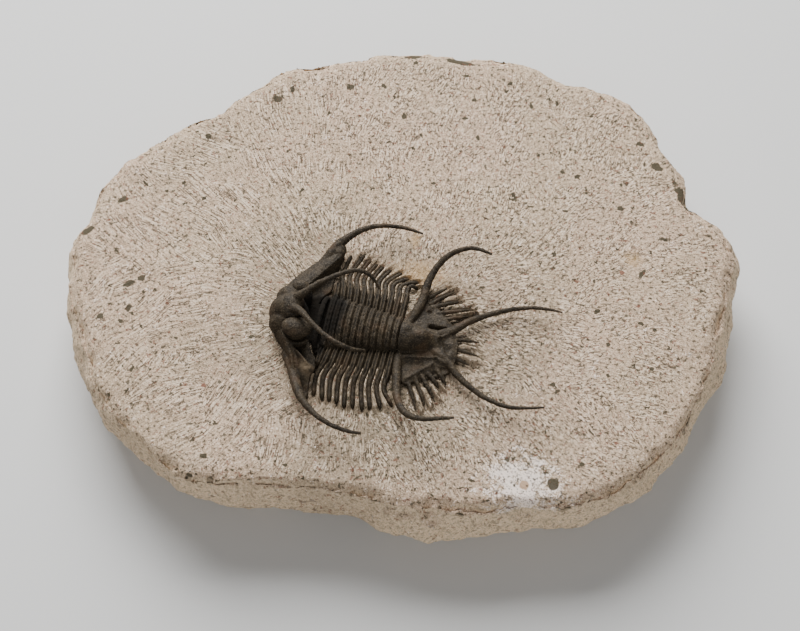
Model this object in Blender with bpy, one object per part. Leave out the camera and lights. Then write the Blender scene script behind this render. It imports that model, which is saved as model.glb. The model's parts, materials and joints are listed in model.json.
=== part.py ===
"""A long-spined trilobite, eyes, horns and spines standing free, on its oval block of limestone.

The block lies on its sawn base at z = 0. The animal's plates are modelled in its own frame, which
an empty carries: x runs back from the front of the head, y to the animal's right, and z up from
the worked face of the block.
"""

import math

import bmesh
import bpy
from mathutils import Vector, noise

MM = 0.001
GAP = 0.3 * MM

SLAB_HEIGHT = 18.0 * MM
SLAB_BELLY = 9.0 * MM
SLAB_SPOKES = 96
FLAT_SHARE = 0.72
WALL_ROUGHNESS = 0.9 * MM
FACE_ROUGHNESS = 0.35 * MM
NOISE_SEED = 5

HEAD_FRONT = (-24.3 * MM, -10.7 * MM)
BODY_TURN = math.radians(-12.0)

RINGS = 11
RING_PITCH = 1.245 * MM
FIRST_RING = 11.2 * MM
AXIS_HALF_FRONT = 5.4 * MM
AXIS_HALF_REAR = 3.3 * MM
AXIS_HEIGHT_FRONT = 5.6 * MM
AXIS_HEIGHT_REAR = 4.6 * MM
FURROW_HEIGHT = 1.9 * MM
FULCRUM = 9.2 * MM
RIB_WIDTH = 0.82 * MM
# Where a rib turns back towards the tail: its distance to the side, and back for the first rib,
# with the wider pitch that the ribs have fanned out to there.
KNEE_SIDE = 11.0
FIRST_KNEE = 9.75
KNEE_PITCH = 1.4

# The block's widest outline seen from above, in millimetres, anticlockwise from its right end.
SLAB_OUTLINE = (
    (63.7, 3.0), (62.8, 7.0), (60.6, 10.4), (57.8, 12.9), (55.7, 13.6), (55.2, 17.7),
    (53.6, 23.0), (50.8, 28.5), (47.7, 35.7), (43.4, 39.9), (38.4, 42.6), (31.3, 44.2),
    (28.0, 46.7), (20.9, 49.3), (12.0, 50.2), (5.1, 51.4), (-4.6, 51.4), (-8.4, 49.5),
    (-16.7, 48.3), (-24.2, 46.9), (-29.4, 42.6), (-34.7, 38.6), (-42.3, 33.6), (-49.1, 28.9),
    (-53.4, 25.6), (-56.2, 22.5), (-58.6, 17.0), (-60.2, 12.0), (-62.7, 8.0), (-63.3, 1.5),
    (-63.0, -6.0), (-61.8, -12.0), (-59.6, -18.2), (-56.3, -25.4), (-52.0, -31.3),
    (-45.2, -37.8), (-40.4, -42.2), (-33.1, -44.3), (-21.0, -45.1), (-13.7, -45.9),
    (-7.6, -47.4), (-3.0, -50.0), (5.0, -51.1), (14.0, -50.5), (21.0, -49.0), (30.0, -48.9),
    (35.7, -46.8), (40.5, -44.2), (45.3, -40.0), (49.8, -34.5), (54.0, -27.8), (57.5, -21.0),
    (60.4, -14.3), (62.4, -6.5), (63.4, -1.5),
)
# How far the worked face stops short of that outline: bearing, spread in degrees, extra inset.
SLAB_BULGES = ((187.0, 18.0, 1.5), (274.0, 14.0, 2.2), (352.0, 22.0, 1.8))
FACE_INSET = 1.0 * MM

# Spine routes in the animal's frame, in millimetres: back, side (right is positive) and height,
# with the spine's radius there.
GENAL_SPINES = {
    "right": ((7.7, 10.9, 1.8, 0.9), (8.3, 13.6, 2.5, 1.2), (9.3, 16.0, 3.1, 1.1),
              (11.3, 18.1, 3.6, 0.82), (13.4, 19.7, 4.0, 0.64), (16.0, 20.8, 4.2, 0.52),
              (18.9, 21.4, 4.1, 0.42), (21.6, 21.4, 4.0, 0.32), (24.4, 21.0, 3.9, 0.15)),
    "left": ((7.8, -10.9, 1.8, 0.9), (8.5, -13.4, 2.5, 1.25), (9.1, -15.7, 3.2, 1.15),
             (10.8, -17.9, 3.7, 0.92), (12.9, -19.7, 4.0, 0.74), (15.2, -20.9, 4.2, 0.6),
             (17.4, -21.6, 4.2, 0.46), (19.8, -21.8, 4.0, 0.36), (22.2, -21.6, 4.0, 0.2)),
}
HORN = ((3.9, 1.1, 5.6, 1.2), (5.3, 1.4, 7.1, 1.3), (6.7, 2.2, 8.0, 1.05), (8.3, 3.7, 8.5, 0.8),
        (10.3, 5.3, 8.7, 0.62), (12.6, 6.8, 8.9, 0.52), (15.1, 7.8, 8.9, 0.46),
        (17.4, 7.7, 7.7, 0.4), (19.3, 6.4, 5.7, 0.2))
FIRST_TAIL_SPINE = ((25.3, 2.6, 1.2, 0.8), (26.2, 5.6, 1.7, 0.85), (26.9, 8.5, 1.8, 0.85),
                    (27.1, 11.4, 2.2, 0.76), (27.9, 14.3, 3.0, 0.66), (29.7, 16.7, 4.4, 0.56),
                    (32.4, 17.9, 6.0, 0.48), (35.2, 17.8, 7.2, 0.38), (38.0, 17.1, 7.4, 0.18))
SECOND_TAIL_SPINE = ((30.2, 1.5, 1.2, 0.8), (32.0, 2.2, 1.6, 0.85), (33.6, 3.2, 1.6, 0.8),
                     (36.0, 5.6, 1.5, 0.66), (39.0, 7.7, 1.4, 0.54), (42.2, 9.3, 1.6, 0.45),
                     (45.6, 10.3, 2.0, 0.38), (49.1, 10.4, 2.9, 0.3), (52.6, 9.9, 3.6, 0.15))
# The small spines along the tail shield's margin, from where they leave it to the tip: back and
# out to the side.
MARGIN_SPINES = {
    "right": (((28.0, 9.5), (30.6, 12.4)), ((29.5, 9.2), (32.2, 12.0)), ((30.3, 8.2), (33.5, 10.1)),
              ((31.8, 7.0), (36.0, 8.9)), ((32.8, 5.9), (35.6, 7.3)), ((34.6, 1.7), (38.6, 2.4))),
    "left": (((27.9, 9.1), (30.1, 13.5)), ((29.6, 9.1), (31.5, 12.3)), ((30.8, 8.2), (32.8, 10.7)),
             ((32.1, 7.4), (33.2, 8.4)), ((33.4, 6.5), (34.4, 7.6)), ((34.7, 0.2), (39.1, 0.5)),
             ((34.3, 2.1), (37.8, 2.6))),
}
MARGIN_ROOT_DEPTH = 2.0
MARGIN_SPINE_RADIUS = 0.42 * MM
# The ends of the ribs from the first ring to the last, back and out to the side. The first rib's
# spine is hidden under the cheek, so it stops short.
RIB_TIPS = {
    "right": ((10.9, 8.6), (11.7, 15.9), (14.1, 16.5), (15.5, 15.7), (16.9, 15.0), (18.1, 14.7),
              (19.7, 14.3), (21.8, 14.0), (23.4, 13.1), (25.2, 12.6), (25.3, 11.4)),
    "left": ((10.9, 8.6), (11.5, 14.3), (13.2, 14.9), (14.5, 14.9), (15.9, 15.0), (17.4, 15.6),
             (18.9, 15.4), (20.7, 15.5), (22.0, 14.9), (23.8, 14.4), (25.8, 13.5)),
}

EYE_CENTRE = (6.1 * MM, 5.2 * MM)
EYE_RADIUS = 2.0 * MM
EYE_TOP = 7.2 * MM
SUTURE = 3.05
NECK_END = 10.4


def clear_scene():
    for obj in list(bpy.data.objects):
        bpy.data.objects.remove(obj, do_unlink=True)


def make_collection(name):
    collection = bpy.data.collections.new(name)
    bpy.context.scene.collection.children.link(collection)
    return collection


def make_material(name, colour, roughness):
    material = bpy.data.materials.new(name)
    material.use_nodes = True
    shader = material.node_tree.nodes["Principled BSDF"]
    shader.inputs["Base Color"].default_value = (*colour, 1.0)
    shader.inputs["Roughness"].default_value = roughness
    shader.inputs["Metallic"].default_value = 0.0
    return material


def clamp(value, low=0.0, high=1.0):
    return max(low, min(high, value))


def smooth(value):
    """0 to 1 with flat ends."""
    value = clamp(value)
    return value * value * (3.0 - 2.0 * value)


def mound(distance):
    """A rounded hump, 1 at the middle and 0 from a distance of 1."""
    return math.cos(0.5 * math.pi * clamp(distance)) ** 2


def smooth_route(points, steps):
    """Points on a smooth open curve through the given ones, Catmull-Rom."""
    points = [Vector(point) for point in points]
    padded = [2 * points[0] - points[1], *points, 2 * points[-1] - points[-2]]
    route = []
    for before, start, end, after in zip(padded, padded[1:], padded[2:], padded[3:]):
        for step in range(steps):
            t = step / steps
            route.append(0.5 * (2 * start + (end - before) * t
                                + (2 * before - 5 * start + 4 * end - after) * t ** 2
                                + (3 * start - before - 3 * end + after) * t ** 3))
    return route + [points[-1]]


def closed_outline(points, count):
    """count points evenly spaced round a smooth closed curve through the given ones."""
    loop = smooth_route([points[-1], *points, points[0], points[1]], 6)[6:-6]
    lengths = [0.0]
    for first, second in zip(loop, loop[1:]):
        lengths.append(lengths[-1] + (second - first).length)
    even = []
    index = 0
    for number in range(count):
        target = lengths[-1] * number / count
        while lengths[index + 1] < target:
            index += 1
        share = (target - lengths[index]) / (lengths[index + 1] - lengths[index])
        even.append(loop[index].lerp(loop[index + 1], share))
    return even


def add_object(name, mesh, collection, material, parent=None):
    obj = bpy.data.objects.new(name, mesh)
    collection.objects.link(obj)
    obj.parent = parent
    if material:
        mesh.materials.clear()
        mesh.materials.append(material)
        mesh.shade_smooth()
        mesh.set_sharp_from_angle(angle=math.radians(40))
    return obj


def spine(route, collection, sides=2, steps=2):
    """A tapering round spine as a closed mesh object."""
    curve = bpy.data.curves.new("spine_curve", "CURVE")
    curve.dimensions = "3D"
    curve.bevel_depth = MM
    curve.bevel_resolution = sides
    curve.use_fill_caps = True
    points = smooth_route([Vector(point) for point in route], steps)
    line = curve.splines.new("POLY")
    line.points.add(len(points) - 1)
    for target, point in zip(line.points, points):
        target.co = (point[0] * MM, point[1] * MM, point[2] * MM, 1.0)
        target.radius = max(point[3], 0.12)
    guide = bpy.data.objects.new("spine_guide", curve)
    collection.objects.link(guide)
    bpy.context.view_layer.update()
    evaluated = guide.evaluated_get(bpy.context.evaluated_depsgraph_get())
    mesh = bpy.data.meshes.new_from_object(evaluated)
    tidy = bmesh.new()
    tidy.from_mesh(mesh)
    bmesh.ops.remove_doubles(tidy, verts=tidy.verts, dist=0.005 * MM)
    bmesh.ops.recalc_face_normals(tidy, faces=tidy.faces)
    tidy.to_mesh(mesh)
    tidy.free()
    tube = bpy.data.objects.new("spine_solid", mesh)
    tube.matrix_world = guide.matrix_world
    collection.objects.link(tube)
    bpy.data.objects.remove(guide, do_unlink=True)
    return tube


def mirrored(route):
    return [(point[0], -point[1], *point[2:]) for point in route]


def dome(centre, size, collection, segments=16):
    """A closed ellipsoid, for a swelling fused to a plate."""
    ball = bmesh.new()
    bmesh.ops.create_uvsphere(ball, u_segments=segments, v_segments=segments // 2, radius=1.0)
    for vert in ball.verts:
        vert.co = Vector(centre) + Vector(size) * vert.co
    mesh = bpy.data.meshes.new("dome")
    ball.to_mesh(mesh)
    ball.free()
    obj = bpy.data.objects.new("dome", mesh)
    collection.objects.link(obj)
    return obj


def fuse(body, pieces):
    """Joins closed pieces, which share the body's frame, to it for good."""
    for piece in pieces:
        piece.parent = body.parent
        union = body.modifiers.new("join", "BOOLEAN")
        union.operation = "UNION"
        union.object = piece
    bpy.context.view_layer.update()
    evaluated = body.evaluated_get(bpy.context.evaluated_depsgraph_get())
    mesh = bpy.data.meshes.new_from_object(evaluated)
    body.modifiers.clear()
    body.data = mesh
    for piece in pieces:
        bpy.data.objects.remove(piece, do_unlink=True)
    mesh.shade_smooth()
    mesh.set_sharp_from_angle(angle=math.radians(40))


def plate(name, stations, rows, height, collection, material, parent):
    """A closed plate with a flat underside, from a grid laid between its front and rear edges.

    stations are (side, front, rear) in millimetres from one side to the other, and height gives
    the top at (back, side) in metres.
    """
    grid = bmesh.new()
    across = len(stations) - 1
    bmesh.ops.create_grid(grid, x_segments=rows, y_segments=across, size=1.0)
    for vert in grid.verts:
        side, front, rear = stations[round((vert.co.y + 1.0) / 2.0 * across)]
        share = (vert.co.x + 1.0) / 2.0
        back = (front + (rear - front) * share) * MM
        vert.co = (back, side * MM, height(back, side * MM, share))
    bmesh.ops.recalc_face_normals(grid, faces=grid.faces)
    if sum(face.normal.z for face in grid.faces) < 0:
        bmesh.ops.reverse_faces(grid, faces=grid.faces)
    under = bmesh.ops.extrude_face_region(grid, geom=grid.faces[:], use_keep_orig=True)
    lower = [item for item in under["geom"] if isinstance(item, bmesh.types.BMVert)]
    for vert in lower:
        vert.co.z = GAP
    bmesh.ops.recalc_face_normals(grid, faces=grid.faces)
    mesh = bpy.data.meshes.new(name)
    grid.to_mesh(mesh)
    grid.free()
    return add_object(name, mesh, collection, material, parent)


def slab_inset(bearing):
    """How far inside the widest outline the worked face ends."""
    inset = FACE_INSET
    for middle, spread, extra in SLAB_BULGES:
        away = (math.degrees(bearing) - middle + 180.0) % 360.0 - 180.0
        inset += extra * MM * math.exp(-((away / spread) ** 2))
    return inset


def make_slab(collection, material):
    """The limestone block: a ball drawn out ring by ring to the face, the belly and the base."""
    face = SLAB_HEIGHT
    # Each ring's share of the way to the outline, the share of the face's inset that it has, how
    # far it tucks in under the belly, its height and its roughness.
    rings = (
        (0.30, 0.0, 0.0, face, 0.0), (0.55, 0.0, 0.0, face, 0.0), (FLAT_SHARE, 0.0, 0.0, face, 0.0),
        (0.84, 0.5, 0.0, face, 0.5), (0.93, 0.8, 0.0, face, 0.8), (1.0, 1.0, 0.0, face - 0.4 * MM, 1.0),
        (1.0, 0.55, 0.0, face - 2.2 * MM, 1.0), (1.0, 0.12, 0.0, face - 5.0 * MM, 1.0),
        (1.0, 0.0, 0.0, SLAB_BELLY, 1.0), (1.0, 0.0, 2.3 * MM, 5.5 * MM, 1.0),
        (1.0, 0.0, 4.3 * MM, 2.3 * MM, 1.0), (1.0, 0.0, 6.0 * MM, 0.0, 0.5), (0.5, 0.0, 0.0, 0.0, 0.0),
    )
    outline = closed_outline([(x * MM, y * MM) for x, y in SLAB_OUTLINE], SLAB_SPOKES)
    noise.seed_set(NOISE_SEED)
    ball = bmesh.new()
    bmesh.ops.create_uvsphere(ball, u_segments=SLAB_SPOKES, v_segments=len(rings) + 1, radius=1.0)
    for vert in ball.verts:
        polar = math.acos(clamp(vert.co.z, -1.0, 1.0)) / math.pi * (len(rings) + 1)
        ring = round(polar)
        if ring == 0 or ring == len(rings) + 1:
            vert.co = (0.0, 0.0, face if ring == 0 else 0.0)
            continue
        share, inset_share, tuck, level, rough = rings[ring - 1]
        bearing = math.atan2(vert.co.y, vert.co.x)
        spoke = outline[round(bearing / (2 * math.pi) * SLAB_SPOKES) % SLAB_SPOKES]
        inset = tuck + inset_share * slab_inset(math.atan2(spoke.y, spoke.x))
        out = spoke.length
        reach = (out - inset) * share
        place = Vector((spoke.x / out * reach, spoke.y / out * reach, level))
        if rough:
            wobble = noise.noise_vector(place / (7.0 * MM)) + 0.5 * noise.noise_vector(place / (3.0 * MM))
            side = WALL_ROUGHNESS * rough * wobble.x * (share == 1.0)
            place.x += spoke.x / out * side
            place.y += spoke.y / out * side
            if level > 0.0:
                place.z += FACE_ROUGHNESS * rough * wobble.z
        vert.co = place
    bmesh.ops.recalc_face_normals(ball, faces=ball.faces)
    mesh = bpy.data.meshes.new("matrix_slab")
    ball.to_mesh(mesh)
    ball.free()
    return add_object("matrix_slab", mesh, collection, material)


def cranidium_height(back, side, _share):
    """The middle of the head: a steep swollen glabella, and a low neck ring behind it."""
    round_off = mound(math.hypot((back - 3.6 * MM) / (4.6 * MM), side / (5.4 * MM)))
    glabella = (2.2 + 5.0 * round_off ** 0.55) * MM
    ring = (2.6 + 0.9 * mound(abs(back - 9.3 * MM) / (1.4 * MM))) * MM * mound(side / (12.0 * MM))
    neck = smooth((back - 6.6 * MM) / (1.4 * MM))
    return max(glabella * (1.0 - neck) + ring * neck, 1.4 * MM)


def make_cranidium(collection, material, parent):
    """The middle plate of the head with its two long horns."""
    stations = [(-6.4, 9.75, NECK_END), (-5.6, 9.3, NECK_END), (-4.2, 8.85, NECK_END),
                (-SUTURE - 0.05, 8.5, NECK_END), (-SUTURE, 1.1, NECK_END), (-2.4, 0.65, NECK_END),
                (-1.6, 0.25, NECK_END), (-0.8, 0.05, NECK_END)]
    mirror = [(-side, front, rear) for side, front, rear in reversed(stations)]
    stations += [(0.0, 0.0, NECK_END), *mirror]
    body = plate("cranidium", stations, 12, cranidium_height, collection, material, parent)
    horns = [spine(HORN, collection), spine(mirrored(HORN), collection)]
    brow = dome((4.2 * MM, 0.0, 5.6 * MM), (2.5 * MM, 2.7 * MM, 2.2 * MM), collection)
    fuse(body, [brow, *horns])
    return body


def cheek_height(back, side, share):
    """A cheek falling from the eye to a rolled border, with a low ridge out to the genal spine."""
    outward = clamp((abs(side) - 3.0 * MM) / (13.0 * MM))
    slope = (4.2 - 1.5 * outward) * MM
    border = 0.5 * MM * mound(abs(share - 0.2) / 0.2)
    front_edge = 0.9 * MM * (1.0 - smooth(share / 0.16))
    rear_edge = 1.0 * MM * smooth((share - 0.75) / 0.25)
    return max(slope + border - front_edge - rear_edge, 1.2 * MM)


def make_cheek(side_name, sign, collection, material, parent):
    """A free cheek with its tall eye and its genal spine."""
    bow = 0.95 if sign < 0 else -1.7
    half = ((3.4, 1.2, 8.1), (4.6, 1.85, 8.5), (5.8, 2.6, 9.0), (7.0, 3.4, 9.8), (8.3, 4.25, 9.9),
            (9.6, 5.05, 9.7), (10.9, 5.85, 9.8), (12.2, 6.65, 10.1), (13.5, 7.4, 10.4), (14.7, 8.1, 10.6),
            (15.6, 8.7, 10.4))
    stations = []
    for side, front, rear in half:
        bowed = front + bow * mound(abs(side - 8.0) / 7.0)
        stations.append((sign * side, bowed, rear))
    if sign < 0:
        stations.reverse()
    body = plate(f"free_cheek_{side_name}", stations, 7, cheek_height, collection, material, parent)
    x, y = EYE_CENTRE
    stalk = dome((x, sign * y, 4.4 * MM), (EYE_RADIUS, EYE_RADIUS, EYE_TOP - 4.4 * MM), collection)
    swelling = dome((9.2 * MM, sign * 10.4 * MM, 2.4 * MM), (1.2 * MM, 1.3 * MM, 1.7 * MM),
                    collection, 12)
    fuse(body, [stalk, swelling, spine(GENAL_SPINES[side_name], collection)])
    return body


def axis_half(back):
    share = clamp((back - 11.0 * MM) / (13.5 * MM))
    return AXIS_HALF_FRONT + (AXIS_HALF_REAR - AXIS_HALF_FRONT) * share


def body_height(back, side):
    """The vaulted axis, the furrow beside it and the ribs falling to the block's face."""
    share = clamp((back - 11.0 * MM) / (13.5 * MM))
    half = axis_half(back)
    top = AXIS_HEIGHT_FRONT + (AXIS_HEIGHT_REAR - AXIS_HEIGHT_FRONT) * share
    across = abs(side)
    if across < half:
        return FURROW_HEIGHT + (top - FURROW_HEIGHT) * math.sqrt(1.0 - (across / half) ** 2)
    rib = 0.4 * MM * mound(abs(across - 0.85 * FULCRUM) / (FULCRUM - half))
    return FURROW_HEIGHT - 1.1 * MM * smooth((across - half) / (13.5 * MM - half)) + rib


def rib_course(ring, side_name, middle, half):
    """The middle line of a rib from the furrow to its tip: (side, back, width) in millimetres."""
    tip_back, tip_side = RIB_TIPS[side_name][ring]
    knee = (FIRST_KNEE + KNEE_PITCH * ring, KNEE_SIDE)
    turn = (middle + 0.3 * (knee[0] - middle), 8.0)
    band = (RING_PITCH - GAP) / MM
    points = [(middle, half), turn, knee, (tip_back, tip_side)]
    if ring == 0:
        points = [(middle, half), (tip_back, tip_side)]
    line = smooth_route([(back, side, 0.0) for back, side in points], 3 if ring else 4)
    course = []
    for number, point in enumerate(line[1:], 1):
        step = point - line[number - 1]
        share = number / (len(line) - 1)
        width = band + (RIB_WIDTH / MM - band) * smooth((point.y - half) / (FULCRUM / MM - half))
        width *= 1.0 - 0.4 * smooth((share - 0.85) / 0.15)
        slant = min(step.length / max(step.y, 0.01), 2.0)
        course.append((point.y, point.x, width * slant))
    return course


def make_segment(ring, collection, material, parent):
    """One ring of the thorax: an arched band across the axis, with a rib and spine at each side."""
    middle = (FIRST_RING + ring * RING_PITCH) / MM
    half = axis_half(middle * MM) / MM
    band = (RING_PITCH - GAP) / MM
    left = [(-side, back, width) for side, back, width in rib_course(ring, "left", middle, half)]
    right = rib_course(ring, "right", middle, half)
    arch = [(math.sin(math.radians(angle)) * half, middle, band) for angle in range(-90, 91, 18)]
    stations = [(side, back - width / 2, back + width / 2)
                for side, back, width in [*reversed(left), *arch, *right]]

    def height(_back, side, share):
        edge = 0.3 * MM * abs(2.0 * share - 1.0)
        return body_height(middle * MM, side) - edge

    return plate(f"thorax_segment_{ring + 1:02d}", stations, 2, height, collection, material, parent)


def pygidium_height(back, side, share):
    """The tail shield: a smooth raised axis, then pleural fields falling to the margin."""
    across = abs(side)
    half = 3.0 * MM
    end = 1.0 - smooth((back - 27.6 * MM) / (4.2 * MM))
    axis = 2.6 * MM * math.sqrt(max(0.0, 1.0 - (across / half) ** 2)) * end ** 0.7
    field = 0.45 * MM * smooth((across - half) / MM) * mound(abs(share - 0.45) / 0.4)
    margin = 0.6 * MM * smooth((share - 0.75) / 0.25)
    return 1.9 * MM - 0.05 * across + axis + field - margin


def margin_spine(leaves, tip, sign, collection):
    """A small spine of the tail's fringe, rooted inside the shield."""
    leaves = Vector((leaves[0], sign * leaves[1]))
    tip = Vector((tip[0], sign * tip[1]))
    root = leaves + (leaves - tip).normalized() * MARGIN_ROOT_DEPTH
    middle = (root + tip) / 2
    radius = MARGIN_SPINE_RADIUS / MM
    route = ((*root, 1.1, radius * 1.1), (*middle, 1.0, radius), (*tip, 0.7, radius * 0.4))
    return spine(route, collection, sides=1, steps=1)


def make_pygidium(collection, material, parent):
    """The tail shield with two pairs of long spines and a fringe of small ones."""
    half = [(9.4, 26.8, 28.2), (8.4, 26.3, 29.4), (7.2, 25.9, 30.9), (5.8, 25.3, 32.4), (4.4, 24.8, 33.9),
            (3.2, 24.45, 34.7), (2.4, 24.4, 34.9), (1.6, 24.4, 35.0), (0.8, 24.4, 35.0)]
    stations = [(-side, front, rear) for side, front, rear in half]
    stations += [(0.0, 24.4, 35.0)] + list(reversed(half))
    body = plate("pygidium", stations, 10, pygidium_height, collection, material, parent)
    spines = []
    for route in (FIRST_TAIL_SPINE, SECOND_TAIL_SPINE):
        spines += [spine(route, collection), spine(mirrored(route), collection)]
    for side_name, sign in (("right", 1), ("left", -1)):
        for root, tip in MARGIN_SPINES[side_name]:
            spines.append(margin_spine(root, tip, sign, collection))
    fuse(body, spines)
    return body


def main():
    clear_scene()
    collection = make_collection("spined_trilobite")
    limestone = make_material("limestone", (0.50, 0.44, 0.38), 0.9)
    shell = make_material("dark_shell", (0.045, 0.038, 0.032), 0.45)
    make_slab(collection, limestone)
    frame = bpy.data.objects.new("trilobite_frame", None)
    frame.location = (*HEAD_FRONT, SLAB_HEIGHT)
    frame.rotation_euler = (0.0, 0.0, BODY_TURN)
    collection.objects.link(frame)
    make_cranidium(collection, shell, frame)
    make_cheek("right", 1, collection, shell, frame)
    make_cheek("left", -1, collection, shell, frame)
    for ring in range(RINGS):
        make_segment(ring, collection, shell, frame)
    make_pygidium(collection, shell, frame)


main()
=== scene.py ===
# %% [markdown]
# # A long-spined trilobite on its block of limestone
#
# This lesson dresses a plain, correctly sized model of a fossil. The plain model gives every plate
# its place and size, and each plate is modelled again here, finer, where the plain one stands.
# Blender's length unit is a metre and the animal is 35 mm long, so every piece is modelled in
# millimetres first, where numbers are easy to read, and is scaled down when it is settled.

# %% Load the plain model
import json
import math
from contextlib import contextmanager
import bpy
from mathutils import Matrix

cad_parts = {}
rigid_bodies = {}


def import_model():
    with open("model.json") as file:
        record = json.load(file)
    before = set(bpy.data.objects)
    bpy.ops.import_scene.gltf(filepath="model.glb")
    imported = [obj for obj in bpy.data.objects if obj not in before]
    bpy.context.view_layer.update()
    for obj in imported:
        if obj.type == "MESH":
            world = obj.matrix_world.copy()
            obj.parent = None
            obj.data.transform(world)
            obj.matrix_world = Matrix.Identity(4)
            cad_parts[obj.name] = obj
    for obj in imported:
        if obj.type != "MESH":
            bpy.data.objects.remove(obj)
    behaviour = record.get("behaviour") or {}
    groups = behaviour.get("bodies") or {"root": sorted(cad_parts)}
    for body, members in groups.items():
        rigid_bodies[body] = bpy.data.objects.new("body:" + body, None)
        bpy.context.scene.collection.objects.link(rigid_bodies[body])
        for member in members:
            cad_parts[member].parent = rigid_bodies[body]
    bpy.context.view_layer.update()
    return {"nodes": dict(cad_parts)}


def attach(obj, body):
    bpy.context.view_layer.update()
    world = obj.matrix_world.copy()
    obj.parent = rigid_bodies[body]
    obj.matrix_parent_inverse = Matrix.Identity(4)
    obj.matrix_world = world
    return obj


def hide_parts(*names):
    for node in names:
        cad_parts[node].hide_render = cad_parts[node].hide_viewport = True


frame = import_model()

from types import SimpleNamespace

import bpy
import numpy as np
from mathutils import Matrix, Vector, kdtree, noise

noise.seed_set(5)
MM = 0.001
print("plain nodes:", len(frame["nodes"]))

# %% [markdown]
# ## The camera
#
# The block lies flat and the camera looks down on it from the front at 60 degrees, with a long
# lens, so that the oval keeps its shape. The camera comes first, because every later choice of
# detail depends on how large a millimetre looks in the picture: about five picture points.

# %% Place the camera
LOOK_AT = Vector((-0.5, -10.5, 18.0)) * MM
CAMERA_DISTANCE = 347.0 * MM
CAMERA_RISE = math.radians(60.0)
view_line = Vector((0.0, -math.cos(CAMERA_RISE), math.sin(CAMERA_RISE)))
bpy.ops.object.camera_add(location=LOOK_AT + view_line * CAMERA_DISTANCE,
                          rotation=(math.radians(90.0) - CAMERA_RISE, 0.0, 0.0))
camera = bpy.context.object
camera.data.lens = 85.0
camera.data.sensor_width = 36.0
camera.data.clip_start = 0.01
bpy.context.scene.camera = camera
print("camera at", [round(value, 3) for value in camera.location])

# %% [markdown]
# ## The table and the light
#
# A plain pale table top carries the block. The light is a wide soft panel behind and above the
# block, which throws the spines' shadows towards the viewer, and a weak one in front that keeps
# the shadows open. Soft panels are used because small ones would make hard, unreal shadow edges.

# %% The table top
bpy.ops.mesh.primitive_plane_add(size=3.0, location=(0.0, 0.0, 0.0))
table = bpy.context.object
table.name = "table_top"


def new_material(name):
    material = bpy.data.materials.new(name)
    material.use_nodes = True
    return material, material.node_tree, material.node_tree.nodes["Principled BSDF"]


pale, _, shader = new_material("pale_table")
shader.inputs["Base Color"].default_value = (0.62, 0.62, 0.61, 1.0)
shader.inputs["Roughness"].default_value = 0.7
table.data.materials.append(pale)
print("table laid")

# %% Key light, fill light and surroundings


def soft_panel(name, place, size, power):
    """A square light panel that faces the block."""
    aim = (LOOK_AT - Vector(place)).to_track_quat("-Z", "Y")
    bpy.ops.object.light_add(type="AREA", location=place, rotation=aim.to_euler())
    panel = bpy.context.object
    panel.name = name
    panel.data.size = size
    panel.data.energy = power


soft_panel("key_panel", (-0.12, 0.55, 0.50), 0.60, 15.8)
soft_panel("fill_panel", (0.10, -0.75, 0.65), 0.6, 3.3)
world = bpy.context.scene.world or bpy.data.worlds.new("studio")
bpy.context.scene.world = world
world.use_nodes = True
surroundings = world.node_tree.nodes["Background"].inputs
surroundings["Color"].default_value = (0.95, 0.95, 0.96, 1.0)
surroundings["Strength"].default_value = 0.18
print("lights placed")

# %% [markdown]
# ## Working by hand, in code
#
# An operator acts on whatever is selected, so every step starts from a clean selection. These
# small helpers select one object, read and write its points as a table, apply a modifier and, at
# the end of a piece's making, settle it: the piece is scaled from millimetres to metres and put in
# its place, and the place goes into the mesh, so that the finished object itself stays unmoved.

# %% Helpers for selecting and shaping


def only(obj):
    """Selects this object and nothing else."""
    bpy.ops.object.select_all(action="DESELECT")
    obj.select_set(True)
    bpy.context.view_layer.objects.active = obj


@contextmanager
def edit_mode(everything=True):
    """Edits the active object, with all of it selected or just the faces that were picked."""
    bpy.ops.object.mode_set(mode="EDIT")
    if everything:
        bpy.ops.mesh.select_all(action="SELECT")
    yield
    bpy.ops.object.mode_set(mode="OBJECT")


def points_of(obj):
    table_of_points = np.empty(len(obj.data.vertices) * 3)
    obj.data.vertices.foreach_get("co", table_of_points)
    return table_of_points.reshape(-1, 3)


def move_points(obj, places):
    obj.data.vertices.foreach_set("co", np.asarray(places).ravel())
    obj.data.update()


def add_and_apply(obj, kind, **settings):
    only(obj)
    modifier = obj.modifiers.new(kind.lower(), kind)
    for name, value in settings.items():
        setattr(modifier, name, value)
    bpy.ops.object.modifier_apply(modifier=modifier.name)


print("modifiers can be applied")

# %% Helpers for picking faces and settling a piece


def pick_faces(obj, chosen):
    """Marks just these faces, so that edit mode opens with them selected."""
    bpy.context.tool_settings.mesh_select_mode = (False, False, True)
    mesh = obj.data
    mesh.vertices.foreach_set("select", np.zeros(len(mesh.vertices), bool))
    mesh.edges.foreach_set("select", np.zeros(len(mesh.edges), bool))
    mesh.polygons.foreach_set("select", chosen)


def face_centres(obj):
    centres = np.empty(len(obj.data.polygons) * 3)
    obj.data.polygons.foreach_get("center", centres)
    return centres.reshape(-1, 3)


def settle(obj, place=Matrix.Identity(4)):
    only(obj)
    obj.matrix_world = place @ Matrix.Scale(MM, 4)
    bpy.ops.object.transform_apply(location=True, rotation=True, scale=True)
    with edit_mode():
        bpy.ops.mesh.normals_make_consistent(inside=False)
    bpy.ops.object.shade_smooth()


def triangles(obj):
    obj.data.calc_loop_triangles()
    return len(obj.data.loop_triangles)


print("pieces can be settled at a scale of", MM)

# %% Helpers for soft shapes, on single numbers or whole tables


def smooth(value):
    """0 to 1 with flat ends."""
    value = np.clip(value, 0.0, 1.0)
    return value * value * (3.0 - 2.0 * value)


def mound(distance):
    """A rounded hump, 1 at the middle and 0 from a distance of 1."""
    return np.cos(0.5 * np.pi * np.clip(distance, 0.0, 1.0)) ** 2


def bell(distance, width):
    return np.exp(-((distance / width) ** 2))


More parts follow.
